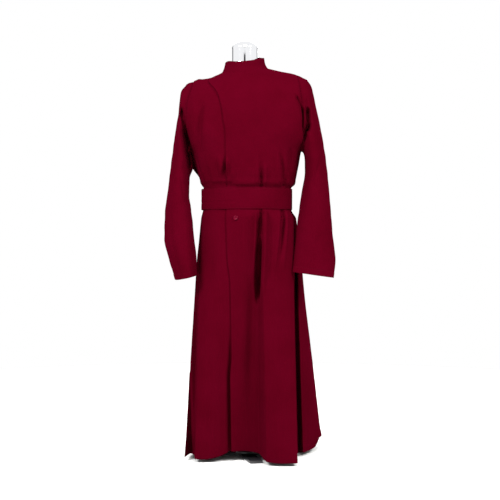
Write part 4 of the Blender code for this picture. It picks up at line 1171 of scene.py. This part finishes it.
def collar_face():
    """The collar's outer face from its foot to its top edge, and its outward directions."""
    turned_by = np.linspace(0, 360 + COLLAR_LAP, COLLAR_COLUMNS)
    _, _, base, normal = around(COLLAR_START + turned_by, NECK)
    where = wrapped(COLLAR_START + turned_by)
    past = np.where(where < 0, smooth((where - COLLAR_REST) / COLLAR_REST_FADE), 1.0)
    base = base + normal * (lap_height(where, NECK) * past)[:, None]
    centre = np.column_stack([np.tile(COLLAR_CENTRE, (len(base), 1)), base[:, 2]])
    radial = unit(base - centre)
    behind = smooth((1 - cos_sin(where)[0]) / 2)
    height = lerp(COLLAR_HEIGHT_FRONT, COLLAR_HEIGHT_BACK, behind)
    lift = band_lift(turned_by, COLLAR_LAP, COLLAR_CLOTH)
    _, _, below, _ = around(COLLAR_START + turned_by, NECK - COLLAR_REACH)

    def wall(share):
        scale = lerp(1, COLLAR_TOP_SCALE, share ** COLLAR_DRAW)
        row = centre + (base - centre) * scale + radial * lift[:, None]
        row[:, 2] = base[:, 2] + COLLAR_GAP + height * share
        wave = 0.0006 * np.sin(np.radians(where) * 5 + 1) * share
        return row + radial * (wave - 0.0005 * bump((share - 0.5) / 0.5))[:, None]

    # Its foot spreads over the body in one curve and ends just under the body's surface.
    foot = base + unit(below - base) * COLLAR_FOOT - normal * COLLAR_SINK
    start, bend = wall(0.0), wall(COLLAR_BEND)
    rows = [lerp(lerp(foot, start, t), lerp(start, bend, t), t) for t in np.linspace(0, 1, 9)]
    rows += [wall(share) for share in np.linspace(COLLAR_BEND, 1, 10)[1:]]
    grid = dressed(np.array(rows))
    return grid, outward(grid, radial)


class CassockCollar(bpy.types.Operator):
    """Build the stand collar"""
    bl_idname = "cassock.collar"
    bl_label = "Collar"

    def execute(self, context):
        points, normal = collar_face()
        obj = cloth_wall("collar_cloth", points, normal, COLLAR_CLOTH, wool(), node="collar")
        return {"FINISHED"}


def band_face():
    """The band's outer face, and its outward directions."""
    turned_by = np.linspace(0, 360 + BAND_LAP, BAND_COLUMNS)
    front, angle, base, _ = around(BAND_START + turned_by, 0.0)
    _, _, _, normal = around(BAND_START + turned_by, 0.0, 0.5)
    normal = unit(normal * np.array([1, 1, 0]))
    on_lap = front & (angle >= lap_angle(0.0) - BAND_STEP)
    stand = np.where(on_lap, lap_height(angle, 0.0), 0.0) + 2 * LAYER_GAP
    # It bridges the lap's step over a few points.
    stand = np.convolve(np.pad(stand, BAND_EASE, mode="edge"), np.ones(2 * BAND_EASE + 1), mode="valid")
    stand = stand / (2 * BAND_EASE + 1) + band_lift(turned_by, BAND_LAP, BAND_CLOTH)
    height = WAIST_TOP_Z - WAIST_LOW_Z - 2 * BAND_INSET
    share = spread(0.0, 4, 0.08, 16, 0.92, 4, 1.0)[:, None]
    out = np.repeat(normal[None], len(share), axis=0)
    points = base + out * (stand + BAND_CLOTH)[:, None]
    points[..., 2] = WAIST_LOW_Z + BAND_INSET + height * share
    z = points[..., 2]
    where = wrapped(BAND_START + turned_by)
    lift = unevenness(np.radians(where) * BAND_RADIUS, z * 0.6, 0.09, 0.0005)
    for off_edge in (share * height, (1 - share) * height):
        lift -= 0.0005 * bump((off_edge - BAND_STITCH) / 0.002)
    # One slack fold lies along its right side.
    fold = smooth((where + 96) / 20) * (1 - smooth((where + 30) / 40))
    lift += fold * (0.0006 * bump((z - 0.935) / 0.006) - 0.0011 * bump((z - 0.929) / 0.004))
    return points + out * lift[..., None], out


class CassockCincture(bpy.types.Operator):
    """Build the waist band"""
    bl_idname = "cassock.cincture"
    bl_label = "Waist band"

    def execute(self, context):
        points, out = band_face()
        obj = cloth_wall("cincture_cloth", points, out, BAND_CLOTH, wool(), node="cincture")
        sewn = [hem_stitches("band_stitches_low", points, out, BAND_STITCH),
                hem_stitches("band_stitches_top", points[::-1], out[::-1], BAND_STITCH)]
        return {"FINISHED"}


# The button's profile from its back to the middle of its dished face: shares of its radius, and heights.
BUTTON = table("out z", [
    (0.86, 0.0), (0.97, 0.0004), (1.0, 0.0012), (0.99, 0.0022), (0.95, 0.0030), (0.88, 0.003528),
    (0.80, BUTTON_THICK), (0.72, 0.003456), (0.64, 0.003024), (0.56, 0.002664), (0.40, 0.002484),
    (0.10, 0.002412)])


def button_seat():
    """The turn and the place that set the button on the upper front, facing out."""
    at = np.array([float(BUTTON_ANGLE)])
    normal = body_normal("front", at, BUTTON_LEVEL)[0]
    place = body("front", at, BUTTON_LEVEL)[0]
    place = place + normal * (lap_height(at, BUTTON_LEVEL)[0] + LAYER_GAP)
    side = unit(np.cross(np.array([0, 0, 1.0]), normal))
    return np.array([side, np.cross(normal, side), normal]), place


class CassockButton(bpy.types.Operator):
    """Build the button and the thread that sews it on"""
    bl_idname = "cassock.button"
    bl_label = "Button"

    def execute(self, context):
        turn, place = button_seat()
        top = BUTTON_THICK
        profile = np.column_stack([BUTTON["out"] * BUTTON_RADIUS, BUTTON["z"]])
        finish = finish_of("crimson cast polyester", cast_polyester, linear(BUTTON_DYE))
        pieces = [turned("button_body", profile, TURNED_SEGMENTS, finish, "crimson_button", "button", 60)]
        # Its four holes are full of thread, and two stitches cross from hole to hole.
        profile = [(0.00080, top * 0.60), (0.00080, top * 0.69), (0.00062, top * 0.70), (0.00055, top * 0.62)]
        for k in range(4):
            hole = turned(f"button_hole_{k}", profile, 16, thread(), "crimson_button")
            c, s = cos_sin(45 + 90 * k)
            for vertex in hole.data.vertices:
                vertex.co += Vector((HOLE_OFFSET * c, HOLE_OFFSET * s, 0))
            pieces.append(hole)
        t = np.linspace(-1, 1, 15)
        for k, across in enumerate((t, -t)):
            path = np.stack([across * HOLE_OFFSET, t * HOLE_OFFSET, top * (0.69 + 0.16 * (1 - t * t))], -1)
            up = np.tile([0, 0, 1.0], (15, 1))
            pieces.append(stitches(f"button_thread_{k}", path, up, *BUTTON_STITCH, thread()))
        for obj in pieces:
            for vertex in obj.data.vertices:
                vertex.co = np.array(vertex.co) @ turn + place
        return {"FINISHED"}


# ---- The dress form ----

TORSO_ROWS = spread(0.0, 3, 1.0, 3, 2.0, 4, 3.0, 5, 4.0, 20, 8.0, 5, 9.0, 5, 10.0)
# How the torso closes below the waist and over the neck, by shares of the ring there.
TORSO_BASE = table("scale z", [
    (0.70, TORSO_BASE_Z), (0.78, TORSO_BASE_Z + 0.0005), (0.86, TORSO_BASE_Z + 0.003),
    (0.93, TORSO_BASE_Z + 0.009), (0.975, 0.795), (0.995, 0.812), (1.0, 0.835), (1.0, 0.868)])
TORSO_TOP = table("scale rise", [(0.93, 0.35), (0.86, 0.70), (0.80, 0.93), (0.74, 1.0)])
NECK_GROOVE = 0.0009
# The pole from the top of its flange's rim up to the bare tube: radius, and height above the foot.
POLE_FOOT = [(FLANGE_RADIUS - 0.001, 0.0), (FLANGE_RADIUS, 0.001), (FLANGE_RADIUS, 0.0076),
             (FLANGE_RADIUS - 0.0008, 0.0086), (0.0290, FLANGE_THICK), (0.0225, 0.0142), (0.0182, 0.0168),
             (0.0156, 0.0205), (POLE_RADIUS, 0.0264)]


def torso_ring(level):
    """A closed ring of the torso inside the cloth, with a straight side bridging each armhole."""
    shoulder = smooth((level - CLOSE_LEVEL) / (SHOULDER - CLOSE_LEVEL))
    ring = []
    for chart, middle in (("front", 0), ("back", 180)):
        angle = middle + np.linspace(-TORSO_SIDE_ANGLE, TORSO_SIDE_ANGLE, 41)
        ridge = np.abs(np.sin(np.radians(angle))) ** RIDGE_POWER
        clear = lerp(TORSO_CLEAR, lerp(YOKE_CLEAR, SHOULDER_CLEAR, ridge), shoulder)
        points = upper(chart, angle, level)
        across = upper(chart, angle + 2, level) - upper(chart, angle - 2, level)
        rise = upper(chart, angle, min(level + 0.05, NECK)) - upper(chart, angle, max(level - 0.05, 0.0))
        normal = unit(np.cross(across, rise))
        ring.append(points - normal * (CLOTH + clear)[:, None])
    bridges = [np.array([lerp(a[-1], b[0], t) for t in (0.2, 0.4, 0.6, 0.8)])
               for a, b in ((ring[0], ring[1]), (ring[1], ring[0]))]
    return np.concatenate([ring[0], bridges[0], ring[1], bridges[1]])


def torso_rings():
    """The rings of the torso, from its closed base to its closed top."""
    waist, rings = torso_ring(0.0), []
    for scale, z in zip(*TORSO_BASE.values()):
        rings.append(lerp(waist.mean(axis=0), waist, scale))
        rings[-1][:, 2] = z
    rings += [torso_ring(level) for level in TORSO_ROWS]
    neck = rings[-1]
    for scale, rise in zip(*TORSO_TOP.values()):
        rings.append(lerp(neck.mean(axis=0), neck, scale))
        rings[-1][:, 2] = lerp(neck[:, 2], TORSO_TOP_Z, rise)
    return drawn(np.array(rings), SET_DRAWS)


def neck_profile():
    """Radii and heights of the neck, from its foot ring up over its domed cap."""
    base, r, tube = TORSO_TOP_Z + SEAM_GAP, NECK_RADIUS, NECK_RADIUS - NECK_GROOVE
    profile = [(r - 0.0010, base), (r, base + 0.0008), (r, base + 0.0042), (tube, base + 0.0050),
               (tube, base + 0.0060), (tube, NECK_STRAIGHT_Z - 0.0024), (tube, NECK_STRAIGHT_Z - 0.0012),
               (r - 0.0004, NECK_STRAIGHT_Z)]
    c, s = cos_sin(np.linspace(0, 90, 21)[1:-1])
    return profile + list(zip(r * c ** 0.9, lerp(NECK_STRAIGHT_Z, NECK_TOP_Z, s))) + [(r * 0.02, NECK_TOP_Z)]


def pole_profile():
    """Radii and heights of the pole, from its flange on the foot up to the torso."""
    foot_top = float(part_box("form_base")[1][2]) + SEAM_GAP
    profile = [(radius, foot_top + z) for radius, z in POLE_FOOT]
    return profile + [(POLE_RADIUS, TORSO_BASE_Z - SEAM_GAP)]


class CassockDressForm(bpy.types.Operator):
    """Build the limbless dress form: torso, neck, pole and foot"""
    bl_idname = "cassock.form"
    bl_label = "Dress form"

    def execute(self, context):
        settings = context.scene.cassock_form
        cover = finish_of("natural cotton jersey", cotton_jersey, (*settings.cover, 1.0))
        chrome = finish_of("chromed spun steel", chromed_steel, (*settings.chrome, 1.0))
        enamel = finish_of("black stoved enamel", stoved_enamel, (*settings.enamel, 1.0))
        grid = torso_rings()
        faces = tube_faces(*grid.shape[:2])
        add_mesh("torso_cover", grid.reshape(-1, 3), faces, cover, 60, "form_torso")
        turned("neck_cap", neck_profile(), settings.segments, chrome, "chrome", "form_neck", 50)
        turned("pole_and_flange", pole_profile(), TURNED_SEGMENTS, enamel, "black_steel", "form_pole", 40)
        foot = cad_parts["form_base"]
        foot.data.materials.clear()
        foot.data.materials.append(enamel)
        return {"FINISHED"}


# ---- The stage ----

# Soft boxes round the form, all turned toward MIDDLE. share is of the key light's power.
LIGHTS = table(
    "name     x     y     z     size share", [
    ("left",  -2.1, -2,   2.65, 1.2, 0.7),
    ("right", 2.3,  -2,   2.65, 1.2, 0.67),
    ("front", 0.2,  -2.6, 2.9,  1.5, 0.28),
    ("back",  0.4,  2.4,  2.7,  1.9, 0.3),
])
# Dark cards out of the frame. The plated neck mirrors them along its edges and down its middle.
FLAGS = table(
    "name          x      y     z     width height", [
    ("flag_left",  -1.95, 1.9,  1.6,  0.9,  2.2),
    ("flag_right", 1.95,  1.9,  1.6,  0.9,  2.2),
    ("flag_front", -0.2,  -4.8, 1.88, 1.3,  0.9),
])
FLAG_COLOUR = "#202022"
FLOOR_RADIUS = 3.2
FLOOR_SIDES = 96
MIDDLE = (0.0, 0.0, 1.15)
CAMERA = (0.0184, -4.0, 0.7545)


def light_room(scene, strength):
    """Even white light from all round."""
    world = scene.world or bpy.data.worlds.new("room")
    scene.world = world
    world.use_nodes = True
    sky = world.node_tree.nodes["Background"]
    sky.inputs["Color"].default_value = (1, 1, 1, 1)
    sky.inputs["Strength"].default_value = strength


def lay_floor(colour):
    mesh = bpy.data.meshes.new("floor")
    c, s = cos_sin(np.arange(FLOOR_SIDES) * 360 / FLOOR_SIDES)
    ring = np.stack([FLOOR_RADIUS * c, FLOOR_RADIUS * s, np.zeros(FLOOR_SIDES)], -1)
    mesh.from_pydata(ring.tolist(), [], [list(range(FLOOR_SIDES))])
    mesh.materials.append(finish_of("white studio paint", studio_paint, colour))
    floor = add_object("floor", mesh)


def stand_flags():
    cloth = finish_of("black flag cotton", studio_paint, linear(FLAG_COLOUR))
    for name, x, y, z, width, height in zip(*FLAGS.values()):
        mesh = bpy.data.meshes.new(str(name))
        corners = ((-1, -1), (1, -1), (1, 1), (-1, 1))
        mesh.from_pydata([(i * width / 2, j * height / 2, 0) for i, j in corners], [], [[0, 1, 2, 3]])
        mesh.materials.append(cloth)
        toward = Vector((-x, -y, 0)).to_track_quat("Z", "Y")
        flag = add_object(str(name), mesh, (x, y, z), toward.to_euler())
        flag.visible_camera = False


def hang_lights(power):
    for name, x, y, z, size, share in zip(*LIGHTS.values()):
        data = bpy.data.lights.new(str(name), "AREA")
        data.shape, data.size, data.energy = "DISK", float(size), power * float(share)
        toward = (Vector(MIDDLE) - Vector((x, y, z))).to_track_quat("-Z", "Y")
        add_object(str(name), data, (x, y, z), toward.to_euler())


class CassockStudio(bpy.types.Operator):
    """Build the floor, the light and the camera"""
    bl_idname = "cassock.stage"
    bl_label = "Stage"

    def execute(self, context):
        settings, scene = context.scene.cassock_stage, context.scene
        scene.view_settings.view_transform = "Standard"
        scene.view_settings.look = "None"
        light_room(scene, settings.sky)
        lay_floor((*settings.floor, 1.0))
        stand_flags()
        hang_lights(settings.key)
        data = bpy.data.cameras.new("camera")
        data.lens, data.sensor_width = settings.lens, 36
        scene.camera = add_object("camera", data, CAMERA, (math.radians(90), 0, 0))
        return {"FINISHED"}


# ---- The add-on ----

class CassockPanel(bpy.types.Panel):
    """Lists the pieces and their settings"""
    bl_idname = "VIEW3D_PT_cassock"
    bl_label = "Cassock"
    bl_space_type = "VIEW_3D"
    bl_region_type = "UI"
    bl_category = "Cassock"

    def draw(self, context):
        for group in ("cassock_cloth", "cassock_form", "cassock_stage"):
            box = self.layout.box()
            settings = getattr(context.scene, group)
            for name in settings.bl_rna.properties.keys():
                if name not in ("rna_type", "name"):
                    box.prop(settings, name)
        for operator in OPERATORS:
            self.layout.operator(operator.bl_idname)


GROUPS = (("cassock_cloth", CassockCloth), ("cassock_form", CassockForm), ("cassock_stage", CassockStage))
OPERATORS = (CassockFronts, CassockBack, CassockSleeves, CassockCollar, CassockCincture, CassockButton,
             CassockDressForm, CassockStudio)


def register():
    for name, group in GROUPS:
        bpy.utils.register_class(group)
        setattr(bpy.types.Scene, name, PointerProperty(type=group))
    for cls in OPERATORS + (CassockPanel,):
        bpy.utils.register_class(cls)


def unregister():
    for cls in (CassockPanel,) + OPERATORS[::-1]:
        bpy.utils.unregister_class(cls)
    for name, group in GROUPS[::-1]:
        delattr(bpy.types.Scene, name)
        bpy.utils.unregister_class(group)


def main():
    register()
    bpy.ops.cassock.stage()
    bpy.ops.cassock.fronts()
    bpy.ops.cassock.back()
    bpy.ops.cassock.sleeves()
    bpy.ops.cassock.collar()
    bpy.ops.cassock.cincture()
    bpy.ops.cassock.button()
    bpy.ops.cassock.form()


if __name__ == "__main__":
    main()
